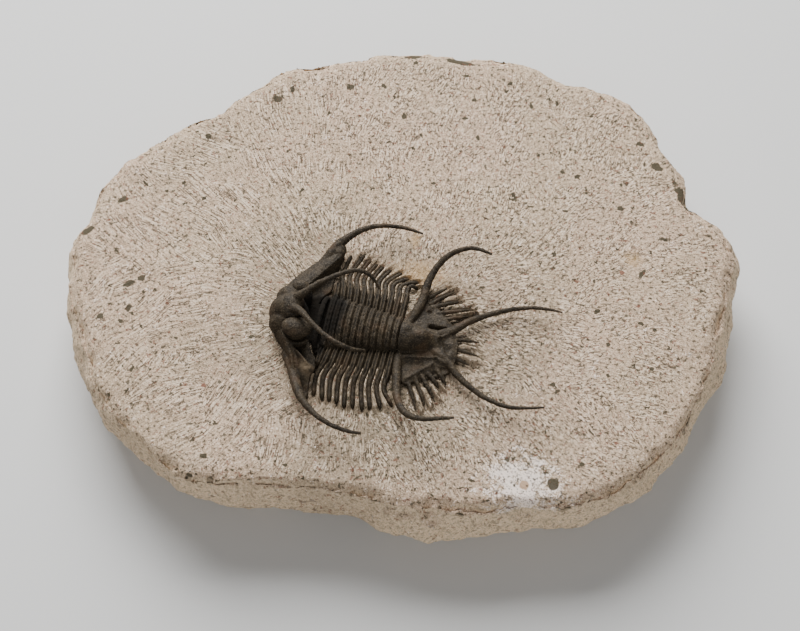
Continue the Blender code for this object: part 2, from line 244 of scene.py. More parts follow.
def dome(distance):
    """A half circle's height: 1 at the middle and 0 from a distance of 1."""
    return np.sqrt(np.clip(1.0 - distance ** 2, 0.0, 1.0))


def soft_noise(places, size):
    """Soft noise from -1 to 1 at each point, with lumps of about this size."""
    return np.array([noise.noise(Vector(place) / size) for place in places])


print("smooth halfway:", smooth(0.5), "mound halfway:", round(float(mound(0.5)), 2))

# %% [markdown]
# ## The animal's own directions
#
# The trilobite lies askew on the block, so its plates are modelled straight, in the animal's own
# directions: x runs back from the front of the head, y to the animal's right and z up from the
# stone's worked face. One placing matrix then turns and moves them all.

# %% The animal's frame
FACE_LEVEL = 18.0
HEAD_FRONT = (-24.3, -10.7)
BODY_TURN = math.radians(-12.0)
ANIMAL = (Matrix.Translation(Vector((*HEAD_FRONT, FACE_LEVEL)) * MM)
          @ Matrix.Rotation(BODY_TURN, 4, "Z"))


def in_animal_frame(x, y):
    """Back and side of places that are given in millimetres on the block."""
    dx = x - HEAD_FRONT[0]
    dy = y - HEAD_FRONT[1]
    cosine, sine = math.cos(BODY_TURN), math.sin(BODY_TURN)
    return dx * cosine + dy * sine, dy * cosine - dx * sine


SIDES = {"right": 1.0, "left": -1.0}
print("the animal lies at", HEAD_FRONT, "turned by", round(math.degrees(BODY_TURN)), "degrees")

# %% Smooth routes


def smooth_route(points, steps):
    """Points on a smooth open curve through the given ones."""
    points = np.asarray(points, float)
    padded = np.vstack([2 * points[0] - points[1], points, 2 * points[-1] - points[-2]])
    route = []
    for before, start, end, after in zip(padded, padded[1:], padded[2:], padded[3:]):
        for step in range(steps):
            t = step / steps
            route.append(0.5 * (2 * start + (end - before) * t
                                + (2 * before - 5 * start + 4 * end - after) * t ** 2
                                + (3 * start - before - 3 * end + after) * t ** 3))
    return np.array(route + [points[-1]])


def resample(route, count):
    """The same line with its points evenly spaced."""
    steps = np.linalg.norm(np.diff(route[:, :2], axis=0), axis=1)
    along = np.concatenate([[0.0], np.cumsum(steps)])
    wanted = np.linspace(0.0, along[-1], count)
    return np.stack([np.interp(wanted, along, column) for column in route.T], axis=1)


def mirrored(route):
    return [(point[0], -point[1], *point[2:]) for point in route]


print("points on a smooth line through 3 places:", len(smooth_route([(0, 0), (1, 1), (2, 0)], 6)))

# %% Routes of the long spines: back, side, height and radius
GENAL_SPINES = {
    "right": ((7.0, 12.0, 1.6, 0.9), (8.3, 14.0, 2.3, 1.1), (9.4, 16.0, 3.0, 0.95),
              (11.3, 18.1, 3.6, 0.68), (13.4, 19.7, 4.0, 0.54), (16.0, 20.8, 4.2, 0.46),
              (18.9, 21.4, 4.1, 0.41), (21.6, 21.4, 4.0, 0.36), (24.3, 21.0, 3.9, 0.24)),
    "left": ((4.6, -7.3, 1.2, 0.8), (6.4, -10.0, 1.5, 0.95), (7.9, -13.0, 2.2, 1.0),
             (9.1, -15.5, 3.1, 0.86), (10.8, -17.8, 3.7, 0.66), (12.9, -19.6, 4.0, 0.54),
             (15.2, -20.9, 4.2, 0.47), (17.4, -21.6, 4.2, 0.42), (19.8, -21.9, 4.0, 0.38),
             (22.0, -21.8, 4.0, 0.28)),
}
HORN = ((3.9, 1.1, 5.4, 0.95), (5.3, 1.3, 7.0, 0.85), (6.7, 2.2, 8.0, 0.64), (8.3, 3.7, 8.5, 0.52),
        (10.3, 5.3, 8.7, 0.47), (12.6, 6.8, 8.9, 0.45), (15.1, 7.8, 8.9, 0.42),
        (17.4, 7.7, 7.7, 0.39), (19.2, 6.5, 5.8, 0.27))
FIRST_TAIL_SPINES = {
    "right": ((25.3, 2.6, 1.2, 0.8), (26.2, 5.6, 1.7, 0.85), (26.9, 8.5, 1.8, 0.85),
              (27.1, 11.4, 2.2, 0.76), (27.9, 14.3, 3.0, 0.66), (29.7, 16.7, 4.4, 0.56),
              (32.4, 17.9, 6.0, 0.48), (35.2, 17.8, 7.2, 0.4), (37.9, 17.1, 7.4, 0.25)),
    "left": ((24.8, -3.2, 1.2, 0.7), (25.0, -5.6, 1.7, 0.8), (25.5, -8.5, 1.8, 0.85),
             (26.1, -11.4, 2.2, 0.78), (27.2, -14.3, 3.0, 0.68), (29.3, -16.7, 4.4, 0.6),
             (32.0, -17.8, 6.0, 0.5), (35.0, -17.7, 7.2, 0.42), (37.6, -17.1, 7.4, 0.26)),
}
SECOND_TAIL_SPINE = ((30.2, 1.5, 1.2, 0.8), (32.0, 2.2, 1.6, 0.85), (33.6, 3.2, 1.6, 0.8),
                     (36.0, 5.6, 1.5, 0.66), (39.0, 7.7, 1.4, 0.55), (42.2, 9.3, 1.6, 0.47),
                     (45.6, 10.3, 2.0, 0.41), (49.1, 10.4, 2.9, 0.34), (52.5, 9.9, 3.6, 0.22))
print("places along a horn:", len(HORN))

# %% The fringe of small spines on the tail shield, from where each leaves it to its tip
MARGIN_SPINES = {
    "right": (((28.0, 9.5), (30.6, 12.4)), ((29.5, 9.2), (32.2, 12.0)), ((30.3, 8.2), (33.5, 10.1)),
              ((31.8, 7.0), (36.0, 8.9)), ((32.8, 5.9), (35.6, 7.3)), ((34.6, 1.7), (38.6, 2.4))),
    "left": (((27.9, 9.1), (30.1, 13.5)), ((29.6, 9.1), (31.5, 12.3)), ((30.8, 8.2), (32.8, 10.7)),
             ((32.1, 7.4), (33.2, 8.4)), ((33.4, 6.5), (34.4, 7.6)), ((34.7, 0.2), (39.1, 0.5)),
             ((34.3, 2.1), (37.8, 2.6))),
}
print("small tail spines:", sum(len(rows) for rows in MARGIN_SPINES.values()))

# %% [markdown]
# ## The course of each rib
#
# Each ring of the thorax reaches out as a flat rib on both sides, and the ribs end as free, blunt
# spines that turn back towards the tail. A rib's middle line is one smooth curve through four
# places: the furrow beside the axis, the place where it starts to turn, the knee and the tip.

# %% Sizes of the thorax, in millimetres
RINGS = 11
RING_PITCH = 1.245
FIRST_RING = 11.2
AXIS_HALF_FRONT = 5.4
AXIS_HALF_REAR = 3.3
AXIS_HEIGHT_FRONT = 5.6
AXIS_HEIGHT_REAR = 4.6
FURROW_HEIGHT = 1.9
FULCRUM = 9.2
RIB_WIDTH = 0.80
TURN_SIDE = 8.0
KNEE_SIDE = 11.0
FIRST_KNEE = 9.75
KNEE_PITCH = 1.4
RIB_TIPS = {
    "right": ((10.9, 8.6), (11.7, 15.9), (14.1, 16.5), (15.5, 15.7), (16.9, 15.0), (18.1, 14.7),
              (19.7, 14.3), (21.8, 14.0), (23.4, 13.1), (25.2, 12.6), (25.3, 11.4)),
    "left": ((10.9, 8.6), (11.5, 14.3), (13.2, 14.9), (14.5, 14.9), (15.9, 15.0), (17.4, 15.6),
             (18.9, 15.4), (20.7, 15.5), (22.0, 14.9), (23.8, 14.4), (25.8, 13.5)),
}
RIB_SAMPLES = 110
print("rings:", RINGS, "each", RING_PITCH, "mm long")

# %% The axis and the courses of the ribs


def axis_share(back):
    return min(max((back - 11.0) / 13.5, 0.0), 1.0)


def axis_half(back):
    return AXIS_HALF_FRONT + (AXIS_HALF_REAR - AXIS_HALF_FRONT) * axis_share(back)


def axis_top(back):
    """The axis sinks behind the head, so that the first ring lies in the head's hollow."""
    sunk = 1.7 * (1.0 - smooth((back - 10.8) / 3.4))
    return AXIS_HEIGHT_FRONT + (AXIS_HEIGHT_REAR - AXIS_HEIGHT_FRONT) * axis_share(back) - sunk


def rib_course(ring, side_name):
    """The middle line of a rib from the furrow to its tip, as evenly spaced (back, side)."""
    middle = FIRST_RING + ring * RING_PITCH
    half = axis_half(middle)
    tip = RIB_TIPS[side_name][ring]
    knee = (FIRST_KNEE + KNEE_PITCH * ring, KNEE_SIDE)
    turn = (middle + 0.3 * (knee[0] - middle), TURN_SIDE)
    stops = [(middle, half), turn, knee, tip] if ring else [(middle, half), tip]
    course = resample(smooth_route(stops, 12), RIB_SAMPLES)
    course[:, 1] *= SIDES[side_name]
    return course


rib_courses = {(ring, side_name): rib_course(ring, side_name)
               for ring in range(RINGS) for side_name in SIDES}
print("rib courses:", len(rib_courses))

# %% [markdown]
# ## The block of limestone
#
# On the real object the animal was freed with an air scribe, a fine pneumatic chisel. The stone
# between the ribs was left standing as thin pale ridges, and the rest of the face was worn down
# in short strokes. The block could be modelled from a cylinder, but the plain model already has
# the right outline, so a merged copy of it is taken. A voxel remesh gives it even small faces, the
# flat base is dissolved to one face, and the face near the animal is subdivided where the ridges
# will stand, because detail needs points only where it is.

# %% Copy the plain block and give it small faces
BLOCK_VOXEL = 0.52
block = bpy.data.objects.new("limestone_block", frame["nodes"]["matrix_slab"].data.copy())
bpy.context.scene.collection.objects.link(block)
block.data.transform(Matrix.Scale(1.0 / MM, 4))
only(block)
with edit_mode():
    bpy.ops.mesh.remove_doubles(threshold=0.002)
add_and_apply(block, "REMESH", mode="VOXEL", voxel_size=BLOCK_VOXEL)
places = points_of(block)
places[:, 2] = np.where(places[:, 2] < 0.35, 0.0, places[:, 2])
move_points(block, places)
pick_faces(block, face_centres(block)[:, 2] < 0.01)
with edit_mode(everything=False):
    bpy.ops.mesh.dissolve_faces()
print("block faces:", len(block.data.polygons))

# %% Lines of the spines that lie bedded in the stone
RUN_ON = 1.3


def run_on(line):
    """The line with a straight end past its tip, where the scribe's groove runs out."""
    end = line[-1] - line[-6]
    beyond = line[-1] + end / np.linalg.norm(end) * np.linspace(0.12, RUN_ON, 10)[:, None]
    return np.vstack([line, beyond])


bedded = [run_on(course) for course in rib_courses.values()]
for side_name, sign in SIDES.items():
    for leaves, tip in MARGIN_SPINES[side_name]:
        line = np.linspace(leaves, tip, 24)
        line[:, 1] *= sign
        bedded.append(run_on(line))
print("bedded spines:", len(bedded))

# %% How far it is to the nearest bedded spines


def two_nearest(places):
    """Distances to the nearest bedded spine and to the next one, and the nearest one's place."""
    back, side = in_animal_frame(places[:, 0], places[:, 1])
    nearest, second = np.full(len(places), 99.0), np.full(len(places), 99.0)
    share, kind = np.zeros(len(places)), np.zeros(len(places), int)
    for number, line in enumerate(bedded):
        low, high = line.min(axis=0) - 3.0, line.max(axis=0) + 3.0
        close = np.flatnonzero((back > low[0]) & (back < high[0]) & (side > low[1]) & (side < high[1]))
        gaps = np.hypot(back[close, None] - line[:, 0], side[close, None] - line[:, 1])
        at = gaps.argmin(axis=1)
        gap = gaps[np.arange(len(close)), at]
        nearer = gap < nearest[close]
        second[close] = np.where(nearer, nearest[close], np.minimum(second[close], gap))
        chosen = close[nearer]
        nearest[chosen] = gap[nearer]
        share[chosen] = at[nearer] / (len(line) - 1)
        kind[chosen] = number
    return nearest, second, share, kind


print("nearest spine to the head's front:", round(float(two_nearest(
    np.array([(*HEAD_FRONT, FACE_LEVEL)]))[0][0]), 1), "mm")

# %% Subdivide the worked face near the animal


def refine(obj, reach, smallest_side):
    """Cuts the upward faces nearer than this to a bedded spine into quarters."""
    centres = face_centres(obj)
    high = centres[:, 2] > FACE_LEVEL - 0.6
    chosen = np.zeros(len(centres), bool)
    near = np.flatnonzero(high)
    distance = two_nearest(centres[near])[0]
    _, side = in_animal_frame(centres[near, 0], centres[near, 1])
    chosen[near] = (distance < reach) & (np.abs(side) > smallest_side)
    pick_faces(obj, chosen)
    with edit_mode(everything=False):
        bpy.ops.mesh.subdivide(number_cuts=1)
    print("refined", int(chosen.sum()), "faces")


only(block)
refine(block, 4.5, -1.0)
refine(block, 1.6, 4.0)

# %% [markdown]
# Now the face is sculpted in code. Broad noise gives the gentle waves that the scribe leaves, the
# rim is chipped, the wall is broken stone, and round each bedded spine the stone is cut down to a
# groove, so that what is left between two neighbours is a thin ridge.

# %% Break the wall


def broken_cells(places, size):
    """Voronoi cells of about this size: distance to the cell's middle and a number for each cell."""
    found = [noise.voronoi(Vector(place) / size) for place in places]
    middles = np.array([spots[0] for _, spots in found])
    number = np.modf(np.abs(np.sin(middles @ np.array([12.99, 78.23, 37.72])) * 4375.5))[0]
    return np.array([gaps[0] for gaps, _ in found]) * size, number


places = points_of(block)
start_places = places.copy()
outward = places * (1.0, 1.0, 0.0)
outward /= np.maximum(np.linalg.norm(outward, axis=1, keepdims=True), 1e-6)
wall_share = smooth((FACE_LEVEL - 0.1 - places[:, 2]) / 1.0) * smooth(places[:, 2] / 1.2)
wall = np.flatnonzero(wall_share > 0.0)
hollow, _ = broken_cells(places[wall] * (1.0, 1.0, 1.4), 4.2)
scales, _ = broken_cells(places[wall] + 70.0, 1.7)
rough = (0.42 * soft_noise(places[wall], 7.0) + 0.26 * hollow - 0.5 + 0.20 * scales - 0.2
         + 0.20 * soft_noise(places[wall] + 80.0, 0.9))
places[wall] += outward[wall] * (rough * wall_share[wall])[:, None]
print("wall from", round(float(rough.min()), 2), "to", round(float(rough.max()), 2), "mm")

# %% Chip the rim and give the face gentle waves
RIM_REACH = 4.5
RIM_LOW = 15.0
RIM_HIGH = 17.3
rim = start_places[(start_places[:, 2] > RIM_LOW) & (start_places[:, 2] < RIM_HIGH)]
rim_tree = kdtree.KDTree(len(rim))
for index, place in enumerate(rim):
    rim_tree.insert((place[0], place[1], 0.0), index)
rim_tree.balance()


def distance_to_rim(places):
    return np.array([rim_tree.find((x, y, 0.0))[2] for x, y, _ in places])


face = np.flatnonzero(start_places[:, 2] > FACE_LEVEL - 1.2)
from_rim = distance_to_rim(start_places[face])
flat = start_places[face] * (1.0, 1.0, 0.0)
edge = np.flatnonzero(from_rim < RIM_REACH)
_, chance = broken_cells(flat[edge] + 0.5 * soft_noise(flat[edge], 1.0)[:, None], 3.0)
bite = np.maximum(2.6 * chance - 0.9 - from_rim[edge], 0.0)
places[face[edge], 2] -= 0.75 * bite + 0.25 * smooth(1.0 - from_rim[edge] / 1.5)
waves = 0.30 * soft_noise(flat + 9.0, 17.0) + 0.16 * soft_noise(flat + 31.0, 5.0)
waves += 0.09 * soft_noise(flat + 57.0, 1.7)
back, side = in_animal_frame(start_places[face, 0], start_places[face, 1])
from_animal = np.hypot((back - 17.0) / 24.0, side / 21.0)
places[face, 2] += waves * smooth((from_animal - 0.55) / 0.6)
print("rim chipped by up to", round(float(0.75 * bite.max()), 2), "mm")

# %% Cut the grooves and leave the ridges
RIDGE_HEIGHT = 0.85
GROOVE_HALF = 0.36
distance, second, share, kind = two_nearest(start_places[face])
is_rib = kind < len(rib_courses)
bed = np.where(is_rib, 1.15 - 1.15 * smooth(share), 0.45 - 0.45 * smooth(share))
fade = smooth(1.0 - (distance - 0.7) / 1.9)
ridge = RIDGE_HEIGHT * smooth((distance - GROOVE_HALF) / 0.20) * smooth((1.9 - second) / 0.7)
ridge *= smooth((share - np.where(is_rib, 0.12, 0.0)) / 0.25) * smooth((1.0 - share) / 0.13)
groove = 0.32 * smooth(1.0 - distance / 0.6) * smooth((1.0 - share) / 0.1)
behind_head = np.where(np.abs(side) < 9.0, smooth((back - 10.3) / 0.8), 1.0)
places[face, 2] += (bed + ridge - groove) * fade * behind_head
move_points(block, places)
print("relief from", round(float(places[face, 2].min()), 2), "to", round(float(places[face, 2].max()), 2))

# %% Thin the block where it is smooth, and settle it
BLOCK_TRIANGLES = 185000
add_and_apply(block, "DECIMATE", ratio=min(1.0, BLOCK_TRIANGLES / triangles(block)))
settle(block)
print("block triangles:", triangles(block))

# %% [markdown]
# ## The rings of the thorax
#
# Each ring is one arched plate: a tubercled band over the axis, a pair of thin ridges with a
# furrow between them on each side, and a free, round-topped spine at each end. A ring could be
# built from tubes, but then the flat parts would look blown up. It is a strip of grid instead,
# whose long lines follow the ring from tip to tip, so that every ridge runs along the grid.

# %% The strip that becomes a ring
ARCH_SAMPLES = 100
STRIP_ACROSS = 14


def strip_lines(ring):
    """For each cross line of a ring: place, direction across, half width, height and kind."""
    middle = FIRST_RING + ring * RING_PITCH
    half = axis_half(middle)
    angles = np.linspace(-np.pi / 2, np.pi / 2, ARCH_SAMPLES + 2)[1:-1]
    arch = np.stack([np.full(ARCH_SAMPLES, middle), np.sin(angles) * half], axis=1)
    left = rib_courses[ring, "left"][::-1]
    right = rib_courses[ring, "right"]
    line = np.vstack([left, arch, right])
    share = np.concatenate([np.linspace(1, 0, len(left)), np.zeros(ARCH_SAMPLES),
                            np.linspace(0, 1, len(right))])
    step = np.gradient(line, axis=0)
    step /= np.linalg.norm(step, axis=1, keepdims=True)
    forward = np.stack([step[:, 1], -step[:, 0]], axis=1)
    across = np.abs(line[:, 1])
    arched = FURROW_HEIGHT + (axis_top(middle) - FURROW_HEIGHT) * dome(across / half)
    flank = (FURROW_HEIGHT - 1.1 * smooth((across - half) / (13.5 - half))
             + 0.45 * mound(np.abs(across - 0.85 * FULCRUM) / (FULCRUM - half)))
    height = np.where(across < half, arched, flank)
    free = smooth((across - 8.6) / 1.2)
    over_axis = 1.0 - smooth((across - half + 0.3) / 0.5)
    width = RING_PITCH + (RIB_WIDTH - RING_PITCH) * free
    blunt = dome(np.clip((share - 0.88) / 0.12, 0.0, 1.0))
    return line, forward, width * (0.12 + 0.88 * blunt) / 2, height, over_axis, free, blunt


def ring_relief(across, over_axis, free, blunt):
    """How far the surface stands above the strip's own height, for places -1 to 1 across it."""
    band = -0.24 * np.abs(across) ** 3.0 - 0.16 + 0.21 * bell(across - 0.46, 0.24)
    band += 0.17 * bell(across + 0.46, 0.22)
    ridges = (0.30 * bell(across + 0.48, 0.24) + 0.34 * bell(across - 0.42, 0.26) - 0.22
              - 0.3 * np.abs(across) ** 5)
    spine = -0.55 * (1.0 - dome(across)) - 0.75 * (1.0 - blunt)
    return over_axis * band + (1.0 - over_axis) * ((1.0 - free) * ridges + free * spine)


print("cross lines in a ring:", len(strip_lines(0)[0]))

# %% Give a sheet its depth
PLATE_BASE = -0.4


def thicken_down_to(level):
    """In edit mode: closes a sheet to a solid whose underside is flat and lies at this level."""
    bpy.ops.mesh.extrude_region_move(TRANSFORM_OT_translate={"value": (0.0, 0.0, -8.0)})
    bpy.ops.transform.resize(value=(1.0, 1.0, 0.0), center_override=(0.0, 0.0, level))


print("plates reach down to", PLATE_BASE, "mm")

# %% Make the rings
TUBERCLE_PITCH = 0.55
TUBERCLE_SIZE = 0.13


def make_ring(ring):
    line, forward, half_width, height, over_axis, free, blunt = strip_lines(ring)
    bpy.ops.object.select_all(action="DESELECT")
    bpy.ops.mesh.primitive_grid_add(x_subdivisions=STRIP_ACROSS, y_subdivisions=len(line) - 1, size=2.0)
    strip = bpy.context.object
    strip.name = f"thorax_ring_{ring + 1:02d}"
    places = points_of(strip)
    row = np.rint((places[:, 1] + 1.0) / 2.0 * (len(line) - 1)).astype(int)
    across = -places[:, 0]
    flat = line[row] + forward[row] * (across * half_width[row])[:, None]
    rise = height[row] + ring_relief(across, over_axis[row], free[row], blunt[row])
    steps = np.hypot(np.linalg.norm(np.diff(line, axis=0), axis=1), np.diff(height))
    along = np.concatenate([[0.0], np.cumsum(steps)])
    along -= along[len(line) // 2]
    wander = 0.35 * np.sin(along * 2.3 + ring * 1.7)
    near_tubercle = ((along + wander)[row] / TUBERCLE_PITCH + 0.5 * (ring % 2)) % 1.0 - 0.5
    tubercle = np.exp(-((near_tubercle * TUBERCLE_PITCH / TUBERCLE_SIZE) ** 2)
                      - ((across - 0.42) * RING_PITCH / 2 / TUBERCLE_SIZE) ** 2)
    rise += 0.14 * tubercle * np.maximum(over_axis[row], 0.35 * (1.0 - free[row]))
    knob = np.exp(-(((np.abs(line[row, 1]) - axis_half(FIRST_RING + ring * RING_PITCH) + 0.15) / 0.3) ** 2)
                  - ((across - 0.2) * RING_PITCH / 2 / 0.3) ** 2)
    rise += 0.28 * knob
    crumbled = np.stack([flat[:, 0], flat[:, 1], np.full(len(flat), float(ring))], axis=1)
    rise += 0.13 * soft_noise(crumbled, 0.7) + 0.10 * soft_noise(crumbled + 40.0, 1.9)
    rise += 0.12 * over_axis[row] * soft_noise(crumbled + 90.0, 0.36)
    move_points(strip, np.stack([flat[:, 0], flat[:, 1], rise], axis=1))
    with edit_mode():
        thicken_down_to(PLATE_BASE)
        bpy.ops.mesh.dissolve_faces()
    settle(strip, ANIMAL)
    return strip


rings = [make_ring(ring) for ring in range(RINGS)]
print("rings:", len(rings), "of", triangles(rings[5]), "triangles")

# %% [markdown]
# ## Plates that swell: fusing by remesh
#
# The head and the tail are thick swollen plates with round spines growing out of them. Simple
# solids are laid into each other, a bent strip for the plate, balls for swellings and tapered
# curve tubes for spines and ridges. One voxel remesh then turns them into a single skin, smoothing
# rounds the joins, and a fine displacement gives the shell its granules.

# %% Tubes


def add_tube(route, sides=6):
    """A tapering round tube along a smooth route of (back, side, height, radius)."""
    bpy.ops.object.select_all(action="DESELECT")
    bpy.ops.curve.primitive_bezier_curve_add(location=(0.0, 0.0, 0.0))
    tube = bpy.context.object
    line = tube.data.splines[0]
    line.bezier_points.add(len(route) - 2)
    for point, (x, y, z, radius) in zip(line.bezier_points, route):
        point.co = (x, y, z)
        point.radius = radius
        point.handle_left_type = "AUTO"
        point.handle_right_type = "AUTO"
    tube.data.bevel_depth = 1.0
    tube.data.bevel_resolution = sides
    tube.data.resolution_u = 10
    tube.data.use_fill_caps = True
    bpy.ops.object.convert(target="MESH")
    tube = bpy.context.object
    with edit_mode():
        bpy.ops.mesh.remove_doubles(threshold=0.001)
        bpy.ops.mesh.normals_make_consistent(inside=False)
    return tube


print("a spine is a curve with a round bevel")

# %% Balls and plates


def add_ball(centre, size):
    bpy.ops.object.select_all(action="DESELECT")
    bpy.ops.mesh.primitive_uv_sphere_add(segments=32, ring_count=16, location=centre)
    ball = bpy.context.object
    ball.scale = size
    bpy.ops.object.transform_apply(location=True, rotation=True, scale=True)
    return ball


def add_plate(stations, height, rows, columns):
    """A closed plate between the front and rear edges that (side, front, rear) stations give."""
    bpy.ops.object.select_all(action="DESELECT")
    bpy.ops.mesh.primitive_grid_add(x_subdivisions=rows, y_subdivisions=columns, size=2.0)
    plate = bpy.context.object
    edges = smooth_route(stations, 6)
    edges = edges[np.argsort(edges[:, 0])]
    places = points_of(plate)
    side = edges[0, 0] + (edges[-1, 0] - edges[0, 0]) * (places[:, 1] + 1.0) / 2.0
    front = np.interp(side, edges[:, 0], edges[:, 1])
    rear = np.interp(side, edges[:, 0], edges[:, 2])
    share = (places[:, 0] + 1.0) / 2.0
    back = front + (rear - front) * share
    move_points(plate, np.stack([back, side, height(back, side, share)], axis=1))
    with edit_mode():
        thicken_down_to(PLATE_BASE)
        bpy.ops.mesh.select_all(action="SELECT")
        bpy.ops.mesh.normals_make_consistent(inside=False)
    return plate


print("a plate is a grid that is bent between two edges")

# %% Fusing to one skin
PLATE_VOXEL = 0.115


def keep_what_hangs_together(plate):
    """Deletes crumbs that a remesh leaves, which don't hang together with the plate's highest place."""
    heights = face_centres(plate)[:, 2]
    pick_faces(plate, heights == heights.max())
    with edit_mode(everything=False):
        bpy.ops.mesh.select_linked()
        bpy.ops.mesh.select_all(action="INVERT")
        bpy.ops.mesh.delete(type="VERT")


def fuse(name, solids, rounds):
    """One skin over all of these solids."""
    bpy.ops.object.select_all(action="DESELECT")
    for solid in solids:
        solid.select_set(True)
    bpy.context.view_layer.objects.active = solids[0]
    bpy.ops.object.join()
    plate = bpy.context.object
    plate.name = name
    add_and_apply(plate, "REMESH", mode="VOXEL", voxel_size=PLATE_VOXEL)
    keep_what_hangs_together(plate)
    add_and_apply(plate, "SMOOTH", factor=0.5, iterations=rounds)
    return plate


print("voxels of", PLATE_VOXEL, "mm")

# %% The shell's granules
GRANULE_DEPTH = 0.07
LUMP_DEPTH = 0.2
granules = bpy.data.textures.new("shell_granules", type="VORONOI")
granules.noise_scale = 0.42
granules.distance_metric = "DISTANCE"
lumps = bpy.data.textures.new("shell_lumps", type="CLOUDS")
lumps.noise_scale = 0.9


def grain_the_shell(plate):
    for texture, strength, middle in ((granules, -GRANULE_DEPTH, 0.4), (lumps, LUMP_DEPTH, 0.5)):
        add_and_apply(plate, "DISPLACE", texture=texture, strength=strength, mid_level=middle,
                      texture_coords="LOCAL")


def shell_plate(name, solids, rounds):
    """Fuses the solids, gives the skin its granules and settles it on the block."""
    plate = fuse(name, solids, rounds)
    grain_the_shell(plate)
    settle(plate, ANIMAL)
    print(name, "triangles:", triangles(plate))
    return plate


print("granules", GRANULE_DEPTH, "mm deep, lumps", LUMP_DEPTH, "mm")

# %% The head's middle plate: glabella, neck ring and the two horns
HEAD_STATIONS = ((-6.2, 9.75, 10.4), (-5.4, 9.2, 10.4), (-4.2, 8.8, 10.4), (-3.2, 6.0, 10.4),
                 (-2.9, 1.6, 10.4), (-2.0, 0.5, 10.4), (-1.0, 0.1, 10.4), (0.0, 0.0, 10.4),
                 (1.0, 0.1, 10.4), (2.0, 0.3, 10.4), (2.9, 1.2, 10.4), (3.2, 6.0, 10.4),
                 (4.2, 8.8, 10.4), (5.4, 9.2, 10.4), (6.2, 9.75, 10.4))
NECK_RING = ((9.6, -5.4, 1.0, 0.5), (9.4, -4.4, 1.7, 0.5), (9.3, -2.5, 2.3, 0.5), (9.3, 0.0, 2.5, 0.5),
             (9.3, 2.5, 2.3, 0.5), (9.4, 4.4, 1.7, 0.5), (9.6, 5.4, 1.0, 0.5))


def low_middle(back, side, share):
    return 1.0 + 0.9 * mound(side / 8.0) * smooth(share / 0.2) * smooth((8.0 - back) / 2.0)


head = shell_plate("head_middle_plate", [
    add_plate(HEAD_STATIONS, low_middle, 30, 40),
    add_ball((3.7, 0.0, 2.0), (3.75, 3.3, 5.0)),
    add_ball((4.3, 0.0, 5.1), (2.4, 2.9, 2.3)),
    add_tube(NECK_RING),
    add_tube(HORN),
    add_tube(mirrored(HORN)),
    add_ball((3.6, 2.9, 2.3), (3.0, 2.6, 3.5)),
    add_ball((4.6, 3.6, 3.2), (2.6, 2.2, 2.5)),
    add_ball((3.9, -2.2, 2.2), (3.5, 2.6, 3.5)),
], 5)

# %% [markdown]
# Each cheek falls from a raised crest, which runs from beside the eye out to a blunt knob, down to
# a rolled border. The eye stands on a short stalk above it, and the outer corner is drawn out into
# the long genal spine, which lifts clear of the stone.

# %% The cheeks' surface
CRESTS = {"right": ((4.6, 4.4), (10.8, 14.2)), "left": ((3.4, 4.7), (9.7, 10.2))}


def cheek_surface(back, side, share, side_name):
    start, stop = np.array(CRESTS[side_name])
    run = stop - start
    length = np.linalg.norm(run)
    run = run / length
    from_start = np.stack([back, np.abs(side)], axis=1) - start
    outward = from_start @ np.array([-run[1], run[0]])
    along = from_start @ run / length
    height = 3.7 - 0.36 * outward - 0.06 * outward ** 2
    behind = 3.7 - 2.7 * smooth(-outward / 1.0)
    height = np.where(outward > 0.0, height, behind) - 0.35 * bell(outward, 0.5)
    if side_name == "left":
        height -= 1.2 * smooth((along - 0.85) / 0.4)
        height += 0.7 * bell(outward, 0.42) * smooth(along / 0.15) * smooth((1.2 - along) / 0.2)
        height += 0.35 * mound(np.abs(share - 0.12) / 0.12) - 0.5 * mound(np.abs(share - 0.32) / 0.16)
    height -= 0.8 * (1.0 - smooth(share / 0.06))
    return np.maximum(height, 1.0)


print("crests:", CRESTS)

# %% Make the cheeks with their eyes and genal spines
CHEEK_STATIONS = ((3.0, 1.1, 7.9), (3.4, 1.2, 8.1), (4.6, 1.85, 8.5), (5.8, 2.6, 9.0), (7.0, 3.4, 9.8),
                  (8.3, 4.25, 9.9), (9.6, 5.05, 9.9), (10.9, 5.85, 10.0), (12.2, 6.65, 10.2),
                  (13.5, 7.4, 10.4), (14.7, 8.1, 10.6), (15.6, 8.7, 10.4))
EYES = {"right": ((5.0, 4.4, 4.7), (1.8, 1.5, 1.6)), "left": ((6.2, -4.1, 5.3), (2.8, 2.0, 1.55))}
FRONT_BOW = {"right": -1.7, "left": 0.95}
REAR_BOW = {"right": 0.0, "left": 0.8}


def make_cheek(side_name):
    sign = SIDES[side_name]
    stations = [(sign * side, front + FRONT_BOW[side_name] * float(mound(abs(side - 8.0) / 7.0)),
                 rear + REAR_BOW[side_name] * float(mound(abs(side - 9.2) / 3.6)))
                for side, front, rear in CHEEK_STATIONS]
    if side_name == "left":
        stations.reverse()
    (x, y, z), size = EYES[side_name]
    solids = [
        add_plate(stations, lambda *where: cheek_surface(*where, side_name), 60, 90),
        add_tube(((x - 0.3, y, 1.8, 2.3), (x - 0.2, y, 3.2, 1.7), (x, y, 4.2, 1.4), (x, y, z, 1.3))),
        add_ball((x, y, z), size),
        add_tube(GENAL_SPINES[side_name]),
    ]
    if side_name == "left":
        eye_rim = ((x - 2.9, y + 0.3, 4.0, 0.3), (x - 2.3, y - 1.2, 3.8, 0.34),
                   (x - 0.8, y - 2.2, 3.6, 0.36), (x + 0.9, y - 2.2, 3.6, 0.36),
                   (x + 2.3, y - 1.3, 3.6, 0.32))
        solids += [add_ball((9.7, -10.4, 2.5), (1.15, 0.95, 0.9)),
                   add_ball((5.2, -3.9, 1.8), (2.5, 2.3, 2.3)), add_tube(eye_rim)]
    else:
        solids.append(add_ball((9.6, 14.9, 2.5), (1.4, 1.7, 1.2)))
    return shell_plate(f"cheek_{side_name}", solids, 5)


